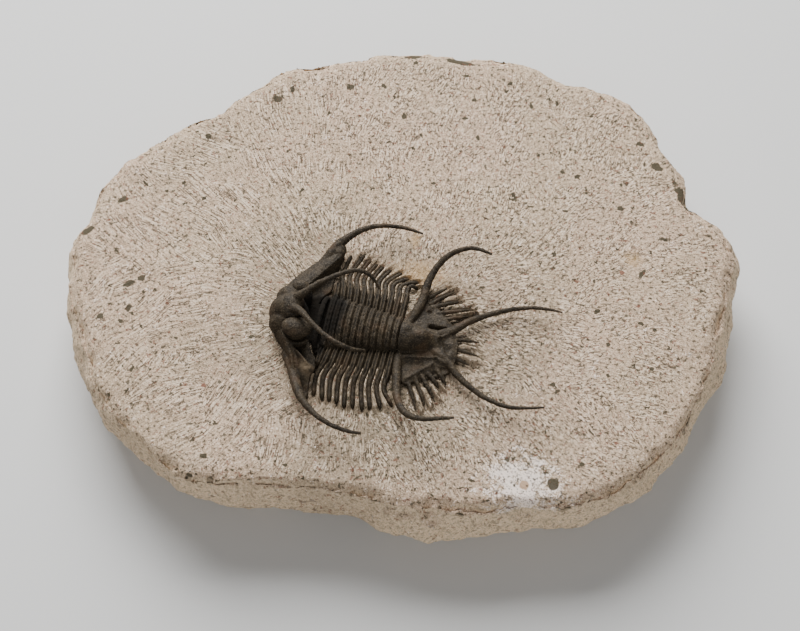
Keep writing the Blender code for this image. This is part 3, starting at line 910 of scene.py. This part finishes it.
cheeks = {side_name: make_cheek(side_name) for side_name in SIDES}

# %% [markdown]
# The tail shield carries the end of the axis, two pairs of long spines and a fringe of small ones.
# From the end of the axis low ridges run out to the second spines' roots.

# %% The tail shield's edges and relief: amount, line from and to, width
FAR_TAIL = [(9.4, 26.6, 27.4), (8.3, 26.2, 28.9), (7.6, 26.0, 29.9), (7.0, 25.8, 30.6), (5.9, 25.2, 31.8),
            (4.8, 24.8, 32.9), (3.4, 24.5, 33.8), (2.3, 24.4, 34.3), (1.4, 24.4, 34.7), (0.6, 24.4, 35.0)]
NEAR_TAIL = [(-9.2, 26.8, 27.7), (-8.4, 26.2, 28.8), (-7.8, 26.0, 29.8), (-7.1, 25.7, 31.2),
             (-6.4, 25.5, 32.9), (-5.7, 25.2, 34.0), (-4.7, 24.9, 34.7), (-3.2, 24.5, 35.1),
             (-1.8, 24.4, 35.2), (-0.6, 24.4, 35.1)]
TAIL_RELIEF = (
    (0.55, (29.6, 1.9), (31.6, 0.7), 0.32), (0.55, (31.6, 0.7), (33.0, 2.2), 0.36),
    (0.5, (31.6, 0.5), (33.2, -3.0), 0.4), (0.4, (25.0, -4.2), (31.6, -3.3), 0.28),
    (0.45, (31.6, -3.3), (33.6, -3.9), 0.4), (0.45, (27.0, -8.4), (31.2, -4.6), 0.42),
    (-1.1, (29.3, 3.1), (32.3, 3.0), 0.34), (-0.6, (29.5, -8.0), (33.4, -5.0), 0.55),
    (-0.45, (26.5, -5.4), (29.0, -4.9), 0.6), (-0.55, (28.5, 6.2), (28.7, 6.2), 0.28),
    (-0.35, (32.2, -0.8), (33.6, -1.0), 0.6),
)
print("ridges and hollows:", len(TAIL_RELIEF))

# %% The tail shield's surface


def beside(back, side, start, stop, width):
    """1 on the line between two places (back, side), falling to 0 within about twice the width."""
    start, stop = np.array(start), np.array(stop)
    run = stop - start
    there = np.stack([back, side], axis=1) - start
    along = np.clip(there @ run / (run @ run), 0.0, 1.0)
    gap = np.linalg.norm(there - along[:, None] * run, axis=1)
    return bell(gap, width)


def tail_surface(back, side, share):
    across = np.abs(side + 0.2)
    half = 3.1 - 1.9 * smooth((back - 24.0) / 8.0)
    end = 1.0 - smooth((back - 28.4) / 3.2)
    axis = 2.75 * dome(across / half) * end
    axis += 0.35 * mound(np.hypot((back - 25.6) / 1.3, (side - 0.6) / 1.3))
    margin = 0.35 * smooth((share - 0.88) / 0.12)
    height = 2.05 - 0.09 * across + axis - margin
    for amount, start, stop, width in TAIL_RELIEF:
        height += amount * beside(back, side, start, stop, width)
    return np.maximum(height, 0.8)


print("the tail ends", max(rear for _, _, rear in NEAR_TAIL), "mm back")

# %% Make the tail shield
MARGIN_ROOT_DEPTH = 2.0


def margin_route(leaves, tip, sign):
    leaves = np.array([leaves[0], sign * leaves[1]])
    tip = np.array([tip[0], sign * tip[1]])
    inward = (leaves - tip) / np.linalg.norm(leaves - tip)
    root = leaves + inward * MARGIN_ROOT_DEPTH
    middle = (leaves + tip) / 2
    return ((*root, 1.2, 0.45), (*leaves, 1.05, 0.42), (*middle, 0.8, 0.34), (*tip, 0.3, 0.16))


tail_solids = [add_plate(NEAR_TAIL + FAR_TAIL[::-1], tail_surface, 90, 150)]
for side_name, sign in SIDES.items():
    tail_solids.append(add_tube(FIRST_TAIL_SPINES[side_name]))
    tail_solids.append(add_tube([(a, sign * b, h, r) for a, b, h, r in SECOND_TAIL_SPINE]))
for side_name, sign in SIDES.items():
    for leaves, tip in MARGIN_SPINES[side_name]:
        tail_solids.append(add_tube(margin_route(leaves, tip, sign), 4))
tail = shell_plate("tail_shield", tail_solids, 4)

# %% [markdown]
# ## Building materials from small groups
#
# Every finish here is procedural: it is worked out from the place on the piece, in millimetres, so it
# needs no picture and has no seams. A wanted effect, such as specks or strokes, is built once as a node
# group with named inputs. Painting a texture by hand would give more control, but would tie the look to
# one mesh.

# %% Helpers for node trees


def is_socket(value):
    return isinstance(value, bpy.types.NodeSocket)


def add_node(tree, kind, inputs=None, **settings):
    """A node with its settings made and its inputs set, or linked where a socket is given."""
    made = tree.nodes.new(kind)
    for name, value in settings.items():
        setattr(made, name, value)
    for socket, value in (inputs or {}).items():
        if is_socket(value):
            tree.links.new(value, made.inputs[socket])
        else:
            made.inputs[socket].default_value = value
    return made


print("a node's inputs take values or sockets")

# %% Sums in node trees


def calc(operation, first, second):
    """A sum of two values, in the node tree of the one that is a socket."""
    tree = (first if is_socket(first) else second).id_data
    return add_node(tree, "ShaderNodeMath", {0: first, 1: second}, operation=operation).outputs[0]


def times(first, second):
    return calc("MULTIPLY", first, second)


def plus(first, second):
    return calc("ADD", first, second)


def less(first, second):
    return calc("SUBTRACT", first, second)


def larger(first, second):
    return calc("MAXIMUM", first, second)


def vector_calc(operation, first, second):
    made = add_node(first.id_data, "ShaderNodeVectorMath", {0: first, 1: second}, operation=operation)
    return made.outputs["Value" if operation in ("LENGTH", "DOT_PRODUCT", "DISTANCE") else "Vector"]


print("sums in node trees: times, plus, less, larger")

# %% Ramps, mixes and noise


def ramp(value, low, high, start=0.0, end=1.0):
    """Smoothly from start, where value is low, to end, where it is high."""
    made = add_node(value.id_data, "ShaderNodeMapRange",
                    {0: value, 1: low, 2: high, 3: start, 4: end}, interpolation_type="SMOOTHSTEP")
    return made.outputs[0]


def mix_colour(share, first, second):
    first, second = (colour if is_socket(colour) else (*colour, 1.0) for colour in (first, second))
    made = add_node(share.id_data, "ShaderNodeMix", {0: share, 6: first, 7: second}, data_type="RGBA")
    return made.outputs[2]


def noise_value(place, size, detail=2.0, roughness=0.5):
    made = add_node(place.id_data, "ShaderNodeTexNoise",
                    {"Vector": place, "Scale": 1.0 / size, "Detail": detail, "Roughness": roughness})
    return made.outputs["Fac"]


def place_in_mm(tree):
    coordinates = tree.nodes.new("ShaderNodeTexCoord")
    return vector_calc("MULTIPLY", coordinates.outputs["Object"], (1000.0, 1000.0, 1000.0))


def raise_relief(tree, shader, height, strength, depth):
    """Lets a height, this many millimetres deep, bend the normal."""
    bump = add_node(tree, "ShaderNodeBump",
                    {"Strength": strength, "Distance": depth * MM, "Height": height})
    tree.links.new(bump.outputs[0], shader.inputs["Normal"])


print("patterns are laid out in millimetres on each piece")

# %% Node groups


def new_group(name, inputs, outputs):
    """An empty node group: inputs are (name, kind, default), outputs are (name, kind)."""
    group = bpy.data.node_groups.new(name, "ShaderNodeTree")
    for socket_name, kind, default in inputs:
        socket = group.interface.new_socket(name=socket_name, in_out="INPUT",
                                            socket_type=f"NodeSocket{kind}")
        socket.default_value = default
    for socket_name, kind in outputs:
        group.interface.new_socket(name=socket_name, in_out="OUTPUT", socket_type=f"NodeSocket{kind}")
    return group, group.nodes.new("NodeGroupInput").outputs, group.nodes.new("NodeGroupOutput").inputs


def grouped(tree, group, inputs):
    return add_node(tree, "ShaderNodeGroup", inputs, node_tree=group).outputs[0]


print("groups have named inputs and outputs")

# %% Group: specks, from noise that is cut off high
speckle, given, result = new_group("speckle", [
    ("Place", "Vector", (0.0, 0.0, 0.0)), ("Size", "Float", 0.5), ("Least", "Float", 0.64),
    ("Edge", "Float", 0.03)], [("Specks", "Float")])
cloud = add_node(speckle, "ShaderNodeTexNoise", {
    "Vector": given["Place"], "Scale": calc("DIVIDE", 1.0, given["Size"]), "Detail": 2.0,
    "Roughness": 0.6})
high = plus(given["Least"], given["Edge"])
speckle.links.new(ramp(cloud.outputs["Fac"], given["Least"], high), result["Specks"])
print("group", speckle.name)

# %% [markdown]
# The strokes of the air scribe all point more or less at the animal, patch by patch, because the
# preparator works a small area at a time. Voronoi cells are the patches: each cell's own centre
# gives the direction to the animal, and noise that is stretched along it gives the strokes.

# %% Group: strokes of the air scribe
ANIMAL_MIDDLE = (-7.0, -13.0, 0.0)
strokes, given, result = new_group("scribe_strokes", [
    ("Place", "Vector", (0.0, 0.0, 0.0)), ("Patch", "Float", 8.0), ("Length", "Float", 2.2),
    ("Width", "Float", 0.3), ("Turn", "Float", 0.7)], [("Lines", "Float")])
flat = vector_calc("MULTIPLY", given["Place"], (1.0, 1.0, 0.0))
cells = add_node(strokes, "ShaderNodeTexVoronoi", {
    "Vector": flat, "Scale": calc("DIVIDE", 1.0, given["Patch"])}, voronoi_dimensions="2D")
centre = cells.outputs["Position"]
away = add_node(strokes, "ShaderNodeSeparateXYZ", {0: vector_calc("SUBTRACT", centre, ANIMAL_MIDDLE)})
chance = add_node(strokes, "ShaderNodeSeparateColor", {0: cells.outputs["Color"]})
# Far out on the left the strokes meet in a V instead, so that their slope there is always the same.
middle = add_node(strokes, "ShaderNodeSeparateXYZ", {0: centre})
upper = calc("GREATER_THAN", middle.outputs[1], 0.3)
half = less(times(upper, 2.0), 1.0)
sloped = times(times(away.outputs[0], -0.72), half)
bent = add_node(strokes, "ShaderNodeMapRange", {
    0: middle.outputs[0], 1: -28.0, 2: -38.0, 3: times(away.outputs[1], 1.4), 4: sloped})
bearing = calc("ARCTAN2", bent.outputs[0], away.outputs[0])
jitter = times(less(chance.outputs[0], 0.5), given["Turn"])
turned = add_node(strokes, "ShaderNodeVectorRotate", {
    "Vector": vector_calc("SUBTRACT", flat, centre),
    "Angle": times(plus(bearing, jitter), -1.0)}, rotation_type="Z_AXIS")
parts = add_node(strokes, "ShaderNodeSeparateXYZ", {0: turned.outputs[0]})
# On the left of the block the strokes are long, on the right they are short pecks.
longer = ramp(away.outputs[0], 10.0, -30.0, 0.45, 1.25)
stretched = add_node(strokes, "ShaderNodeCombineXYZ", {
    0: calc("DIVIDE", parts.outputs[0], times(given["Length"], longer)),
    1: calc("DIVIDE", parts.outputs[1], given["Width"]),
    2: times(chance.outputs[1], 50.0)})
lines = add_node(strokes, "ShaderNodeTexNoise", {
    "Vector": stretched.outputs[0], "Scale": 1.0, "Detail": 1.0, "Roughness": 0.5, "Distortion": 0.25})
strokes.links.new(lines.outputs["Fac"], result["Lines"])
print("group", strokes.name)

# %% [markdown]
# ## The limestone
#
# The stone is a pinkish beige that turns greyer round the animal. In it lie scraps of shell, greenish
# brown, which are what a close look finds first, and a few red specks. The large ones are placed one by
# one where they are on the real block, the small ones are scattered. A patch of white calcite sits on the
# front rim, and a rusty stain beside the first tail spine. The placed marks are kept as numbers on the
# block's points, because one node for each mark would make the shader slow.

# %% Marks of the block, in millimetres: where, how long and wide, turned by degrees
SCRAPS = (
    (-37.6, 29.5, 1.2, 1.6, 0), (-53.1, 15.1, 2.2, 0.9, 35), (-48.6, -2.5, 1.2, 1.0, 0),
    (-50.6, -3.6, 1.9, 1.0, 30), (-50.4, -8.9, 1.3, 1.2, 0), (-55.6, -10.6, 1.3, 0.9, 20),
    (-34.0, 30.9, 1.6, 0.5, -15), (-35.8, 27.6, 0.9, 0.6, 0), (-45.0, 17.1, 0.8, 0.8, 0),
    (-41.9, 19.0, 0.7, 0.6, 0), (-54.0, 6.7, 0.7, 0.9, 0), (-53.7, 3.6, 0.8, 0.7, 0),
    (-10.4, 41.6, 1.5, 1.6, 40), (-24.4, 38.6, 1.9, 1.1, -35), (-21.8, 41.0, 0.7, 1.2, 0),
    (-3.7, 41.8, 1.6, 0.7, -50), (0.3, 34.5, 0.8, 1.4, 10), (2.2, 26.7, 0.7, 0.7, 0),
    (7.3, 31.7, 1.9, 0.5, 60), (12.2, 34.0, 1.2, 0.6, 10), (21.2, 42.3, 1.5, 0.7, 20),
    (14.1, 38.4, 0.9, 0.9, 0), (25.2, 36.9, 0.8, 1.3, 20), (25.5, 34.3, 0.7, 0.8, 0),
    (20.1, 23.6, 1.0, 0.7, 0), (48.8, 22.7, 2.4, 1.4, -30), (41.5, 13.0, 1.4, 1.0, 20),
    (42.8, 18.8, 1.0, 0.8, 0), (46.0, 27.9, 1.2, 0.8, 0), (45.6, 33.8, 1.0, 0.7, 40),
    (36.7, 34.8, 1.3, 0.7, 0), (33.5, 20.4, 1.0, 0.7, 30), (35.0, 16.5, 0.8, 0.8, 0),
    (44.7, -1.4, 2.0, 0.6, 50), (32.0, -3.1, 1.2, 0.6, -20), (35.5, -3.1, 1.4, 0.6, -20),
    (-35.0, -39.1, 1.2, 0.9, 0), (-33.8, -43.2, 1.0, 0.8, 0), (-37.6, -42.6, 1.2, 0.8, 20),
    (-30.0, -41.6, 0.9, 0.7, 0), (-20.7, -40.9, 0.8, 0.8, 0), (24.6, -41.6, 0.8, 0.9, 0),
    (18.3, -39.9, 1.0, 0.9, 0), (9.0, -50.0, 2.6, 0.8, 15), (-1.7, -48.5, 1.2, 0.7, 0),
    (26.2, -44.3, 1.9, 1.7, 30), (20.6, -49.0, 2.6, 0.9, -25), (27.8, -48.8, 2.8, 0.8, 15),
    (28.2, 2.6, 0.9, 0.7, 0), (35.6, -9.6, 1.6, 0.6, 20), (43.6, -12.2, 0.8, 0.7, 0),
    (38.3, -45.6, 7.5, 0.5, 37), (52.5, -29.0, 14.0, 0.45, 62), (11.0, 48.0, 5.0, 1.2, -15),
    (2.2, 49.2, 2.6, 1.0, 0), (53.6, 15.2, 6.5, 1.6, -68), (-59.5, 8.0, 2.4, 1.2, 40),
)
RED_SPECKS = ((-55.6, 10.3, 0.9, 0.7, 0), (40.8, -1.2, 1.0, 0.8, 0), (43.2, -8.7, 0.8, 0.7, 0),
              (34.8, -34.6, 0.8, 0.7, 0), (37.7, -36.6, 0.8, 0.7, 0), (-35.8, -25.0, 0.9, 0.9, 0))
RUST_STAINS = ((3.4, -1.6, 9.0, 5.5, -10), (2.3, 5.9, 2.2, 3.2, 0), (43.1, 1.7, 3.5, 3.0, 0))
CALCITE = ((21.0, -44.4, 11.5, 9.0, -15),)
CALCITE_SPOT = ((21.1, -44.6, 1.7, 2.1, 0),)
print("scraps:", len(SCRAPS), "red specks:", len(RED_SPECKS), "rust stains:", len(RUST_STAINS))

# %% Keep the marks on the block's points
MARKS_FROM = 15.5


def keep_values(obj, name, values):
    kept_there = obj.data.attributes.new(name, "FLOAT", "POINT")
    kept_there.data.foreach_set("value", np.asarray(values, np.float32))


def keep_marks(obj, name, rows):
    """Keeps on each point how close it is to a mark: 1 in its middle, 0.5 at its edge, 0 outside."""
    places = points_of(obj) / MM
    best = np.zeros(len(places))
    for x, y, length, width, turn in rows:
        cosine, sine = math.cos(math.radians(turn)), math.sin(math.radians(turn))
        dx, dy = places[:, 0] - x, places[:, 1] - y
        reach = np.hypot((dx * cosine + dy * sine) / length, (dy * cosine - dx * sine) / width)
        best = np.maximum(best, np.clip(1.0 - reach, 0.0, 1.0))
    keep_values(obj, name, best * (places[:, 2] > MARKS_FROM))


for name, rows in (("scraps", SCRAPS), ("red_specks", RED_SPECKS), ("rust", RUST_STAINS),
                   ("calcite", CALCITE), ("calcite_spot", CALCITE_SPOT)):
    keep_marks(block, name, rows)
places = points_of(block) / MM
keep_values(block, "from_rim", np.where(places[:, 2] > RIM_LOW, distance_to_rim(places), 0.0))
back, side = in_animal_frame(places[:, 0], places[:, 1])
keep_values(block, "from_animal", np.hypot((back - 22.0) / 30.0, (side + 3.0) / 24.0))
print("kept on", len(places), "points")

# %% Colours and shared masks of the limestone
BEIGE = (0.51, 0.372, 0.250)
PINK = (0.56, 0.392, 0.272)
GREY = (0.27, 0.212, 0.142)
GREY_BY_ANIMAL = (0.225, 0.174, 0.117)
PALE_FLECK_AND_HIGHLIGHT = (0.82, 0.68, 0.53)
STROKE = (0.055, 0.040, 0.025)
SCRAP = (0.052, 0.043, 0.024)
RED = (0.16, 0.055, 0.032)
RUST = (0.46, 0.30, 0.145)
CALCITE_WHITE = (0.97, 0.84, 0.75)
CALCITE_BROWN = (0.44, 0.27, 0.15)
WALL_TAN_AND_BOUNCE_LIGHT = (0.80, 0.61, 0.405)
CRUST = (0.085, 0.060, 0.035)


def kept(tree, name):
    return add_node(tree, "ShaderNodeAttribute", attribute_name=name).outputs["Fac"]


def stone_masks(tree):
    """The noises and masks that the steps of the limestone share."""
    place = place_in_mm(tree)
    facing = tree.nodes.new("ShaderNodeNewGeometry").outputs["Normal"]
    rise = add_node(tree, "ShaderNodeSeparateXYZ", {0: facing}).outputs[2]
    drift = noise_value(place, 20.0, 1.0)
    mottle = noise_value(place, 1.6, 3.0, 0.65)
    grain = noise_value(place, 0.30, 2.0, 0.7)
    ragged = times(less(mottle, 0.5), 1.1)
    at_rim = ramp(kept(tree, "from_rim"), 2.5, 5.0, 1.0, 0.0)
    near = plus(kept(tree, "from_animal"), times(drift, 0.8))
    return SimpleNamespace(
        place=place, drift=drift, mottle=mottle, grain=grain, ragged=ragged,
        crumbs=plus(times(less(grain, 0.54), 2.4), times(ragged, 2.0)),
        upward=ramp(rise, 0.62, 0.86),
        broken=times(at_rim, ramp(rise, 0.78, 0.45)),
        near=ramp(near, 0.8, 1.9, 1.0, 0.0))


print("stone from", GREY_BY_ANIMAL, "near the animal to", WALL_TAN_AND_BOUNCE_LIGHT, "where the wall is broken")

# %% The bare stone


def bare_stone(stone):
    """Pinkish beige, tan where the wall is broken and paler there as painted bounce light, greyer near the
    animal, and grainy.
    """
    colour = mix_colour(ramp(stone.drift, 0.35, 0.65), BEIGE, PINK)
    broken = times(stone.broken, ramp(stone.drift, 0.3, 0.6, 0.6, 0.95))
    # The broken wall's tan is its own colour, made paler as painted bounce light on the front wall.
    colour = mix_colour(broken, colour, WALL_TAN_AND_BOUNCE_LIGHT)
    colour = mix_colour(times(stone.near, 0.92), colour, GREY_BY_ANIMAL)
    colour = mix_colour(ramp(stone.mottle, 0.30, 0.55, 0.30, 0.0), colour, GREY)
    most = less(0.9, times(stone.broken, 0.35))
    colour = mix_colour(times(ramp(stone.grain, 0.50, 0.37), most), colour, GREY)
    most = less(0.72, times(stone.near, 0.36))
    return mix_colour(times(ramp(stone.grain, 0.52, 0.68), most), colour, PALE_FLECK_AND_HIGHLIGHT)


print("the bare stone mixes", BEIGE, "and", PINK)

# %% Strokes and pecks of the scribe, weaker on the smooth margin


def scribed(tree, stone, colour):
    """Gives the colour and the mask of the dark strokes."""
    lines = grouped(tree, strokes, {
        "Place": stone.place, "Patch": 7.0, "Length": 2.1, "Width": 0.26, "Turn": 0.9})
    inner = ramp(kept(tree, "from_rim"), 0.5, 4.5, 0.25, 1.0)
    patchy = ramp(noise_value(stone.place, 6.0, 1.0), 0.38, 0.60, 0.35, 1.0)
    worked = times(times(stone.upward, inner), patchy)
    broken_up = times(worked, ramp(stone.grain, 0.62, 0.44, 0.15, 1.0))
    dark = times(ramp(lines, 0.54, 0.61), broken_up)
    # The pale streaks beside the dark strokes are painted highlight on the strokes' edges.
    pale = times(ramp(lines, 0.46, 0.36), worked)
    colour = mix_colour(times(pale, 0.6), colour, PALE_FLECK_AND_HIGHLIGHT)
    depth = plus(0.78, times(stone.near, 0.2))
    return mix_colour(times(dark, depth), colour, STROKE), dark


print("strokes go down to", STROKE)

# %% Calcite, scraps of shell, specks, stains and crust


def marked(tree, name, edge, low, high, most=1.0):
    """A mask over the placed marks of this name, whose edge is uneven."""
    return ramp(plus(kept(tree, name), edge), low, high, 0.0, most)


def scattered(tree, stone, shift, size, least):
    return grouped(tree, speckle, {
        "Place": vector_calc("ADD", stone.place, shift), "Size": size, "Least": least})


def with_marks(tree, stone, colour):
    white = marked(tree, "calcite", stone.crumbs, 0.34, 0.56, 0.85)
    colour = mix_colour(white, colour, CALCITE_WHITE)
    spot = marked(tree, "calcite_spot", times(stone.ragged, 0.6), 0.45, 0.6, 0.85)
    colour = mix_colour(spot, colour, CALCITE_BROWN)
    small = times(scattered(tree, stone, (0.0, 0.0, 0.0), 0.6, 0.585), 0.9)
    scraps = larger(small, scattered(tree, stone, (7.0, 3.0, 0.0), 1.6, 0.665))
    scraps = larger(scraps, marked(tree, "scraps", stone.ragged, 0.34, 0.46))
    scraps = times(scraps, less(0.96, times(stone.broken, 0.45)))
    colour = mix_colour(scraps, colour, SCRAP)
    red = times(scattered(tree, stone, (0.0, 50.0, 9.0), 0.8, 0.63), 0.6)
    colour = mix_colour(red, colour, RED)
    red = marked(tree, "red_specks", stone.ragged, 0.40, 0.55, 0.85)
    colour = mix_colour(red, colour, RED)
    stains = marked(tree, "rust", times(stone.crumbs, 0.5), 0.25, 0.80, 0.62)
    colour = mix_colour(stains, colour, RUST)
    crust = times(stone.broken, ramp(stone.mottle, 0.59, 0.65))
    return mix_colour(times(crust, 0.55), colour, CRUST)


print("marks are laid over the stone")

# %% The limestone's material


def limestone_material():
    material, tree, shader = new_material("worked_limestone")
    stone = stone_masks(tree)
    colour, dark = scribed(tree, stone, bare_stone(stone))
    tree.links.new(with_marks(tree, stone, colour), shader.inputs["Base Color"])
    relief = less(times(stone.grain, 0.8), times(dark, 0.5))
    raise_relief(tree, shader, relief, 0.9, 0.18)
    shader.inputs["Roughness"].default_value = 0.9
    shader.inputs["Specular IOR Level"].default_value = 0.25
    return material


limestone = limestone_material()
print("limestone nodes:", len(limestone.node_tree.nodes))

# %% [markdown]
# ## The shell
#
# The shell is calcite that turned brown black, with a satin skin of fine granules. Its raised edges are
# painted paler, partly wear and partly painted highlight, and its creases are painted dark as painted
# shade; the geometry's pointiness tells them apart.

# %% Colours and special places of the shell
SHELL_DARK = (0.016, 0.012, 0.0075)
SHELL_BROWN = (0.038, 0.028, 0.0165)
SHELL_WEAR_AND_HIGHLIGHT = (0.112, 0.084, 0.052)
SHELL_WARM = (0.062, 0.036, 0.019)
PAINTED_CREASE_SHADE = (0.006, 0.005, 0.004)
PAINTED_SHADOW_BLACK = (0.004, 0.003, 0.002)
KNOB_PALE = (0.17, 0.125, 0.078)
# A place in millimetres, the distance up to which it is full and the one from which it is nothing.
# Painted shadow: the hollow between the horns and the hole behind the near eye are painted nearly black.
PAINTED_HOLLOW_SHADOW = ((-14.6, -12.1, 20.0), 4.6, 6.4)
PAINTED_EYE_HOLE_SHADOW = ((-15.9, -18.3, 20.5), 1.4, 2.2)
CHEEK_KNOB = ((-16.8, -22.7, 21.0), 0.9, 2.2)


def round_about(place, spot):
    middle, full, none = spot
    return ramp(vector_calc("DISTANCE", place, middle), full, none, 1.0, 0.0)


print("the shell goes from", SHELL_DARK, "to", SHELL_WEAR_AND_HIGHLIGHT)

# %% The shell's material


def shell_material():
    material, tree, shader = new_material("brown_black_shell")
    place = place_in_mm(tree)
    edge = tree.nodes.new("ShaderNodeNewGeometry").outputs["Pointiness"]
    cloud = noise_value(place, 1.8, 4.0, 0.65)
    grain = noise_value(place, 0.22, 2.0, 0.65)
    colour = mix_colour(ramp(cloud, 0.35, 0.65), SHELL_DARK, SHELL_BROWN)
    warm = ramp(noise_value(place, 4.5, 2.0), 0.55, 0.7, 0.0, 0.6)
    colour = mix_colour(warm, colour, SHELL_WARM)
    colour = mix_colour(ramp(grain, 0.52, 0.68, 0.0, 0.7), colour, SHELL_WEAR_AND_HIGHLIGHT)
    # Raised edges, where pointiness is high, are painted paler: partly wear, partly painted highlight.
    colour = mix_colour(ramp(edge, 0.52, 0.60, 0.0, 0.45), colour, SHELL_WEAR_AND_HIGHLIGHT)
    # Painted shade: creases, where pointiness is low, are darkened nearly to black.
    colour = mix_colour(ramp(edge, 0.48, 0.42, 0.0, 0.85), colour, PAINTED_CREASE_SHADE)
    # The hollows between the horns and behind the near eye get painted shadow, nearly black. The knob on
    # the near cheek is painted paler.
    hollow = larger(round_about(place, PAINTED_HOLLOW_SHADOW), round_about(place, PAINTED_EYE_HOLE_SHADOW))
    colour = mix_colour(times(hollow, 0.88), colour, PAINTED_SHADOW_BLACK)
    # The knob on the near cheek is painted paler in uneven patches.
    knob = times(round_about(place, CHEEK_KNOB), ramp(cloud, 0.40, 0.58, 0.2, 0.8))
    colour = mix_colour(knob, colour, KNOB_PALE)
    tree.links.new(colour, shader.inputs["Base Color"])
    satin = ramp(grain, 0.3, 0.7, 0.8, 0.58)
    tree.links.new(larger(satin, hollow), shader.inputs["Roughness"])
    shader.inputs["Specular IOR Level"].default_value = 0.2
    raise_relief(tree, shader, grain, 0.7, 0.08)
    return material


shell = shell_material()
print("shell nodes:", len(shell.node_tree.nodes))

# %% [markdown]
# ## Finishing the pieces
#
# Every piece gets its material, its body and the plain nodes that it stands for.

# %% Materials, bodies and replaced nodes


def finish_piece(obj, material, slot, *nodes):
    """Gives a settled piece its material, its body and the plain nodes that it stands for."""
    obj.data.materials.clear()
    obj.data.materials.append(material)
    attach(obj, "root")
    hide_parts(*nodes)
    print(obj.name, "triangles:", triangles(obj))


finish_piece(block, limestone, "limestone", "matrix_slab")
finish_piece(head, shell, "dark_shell", "cranidium")
for side_name, cheek in cheeks.items():
    finish_piece(cheek, shell, "dark_shell", f"free_cheek_{side_name}")
for number, ring_plate in enumerate(rings, 1):
    finish_piece(ring_plate, shell, "dark_shell", f"thorax_segment_{number:02d}")
finish_piece(tail, shell, "dark_shell", "pygidium")
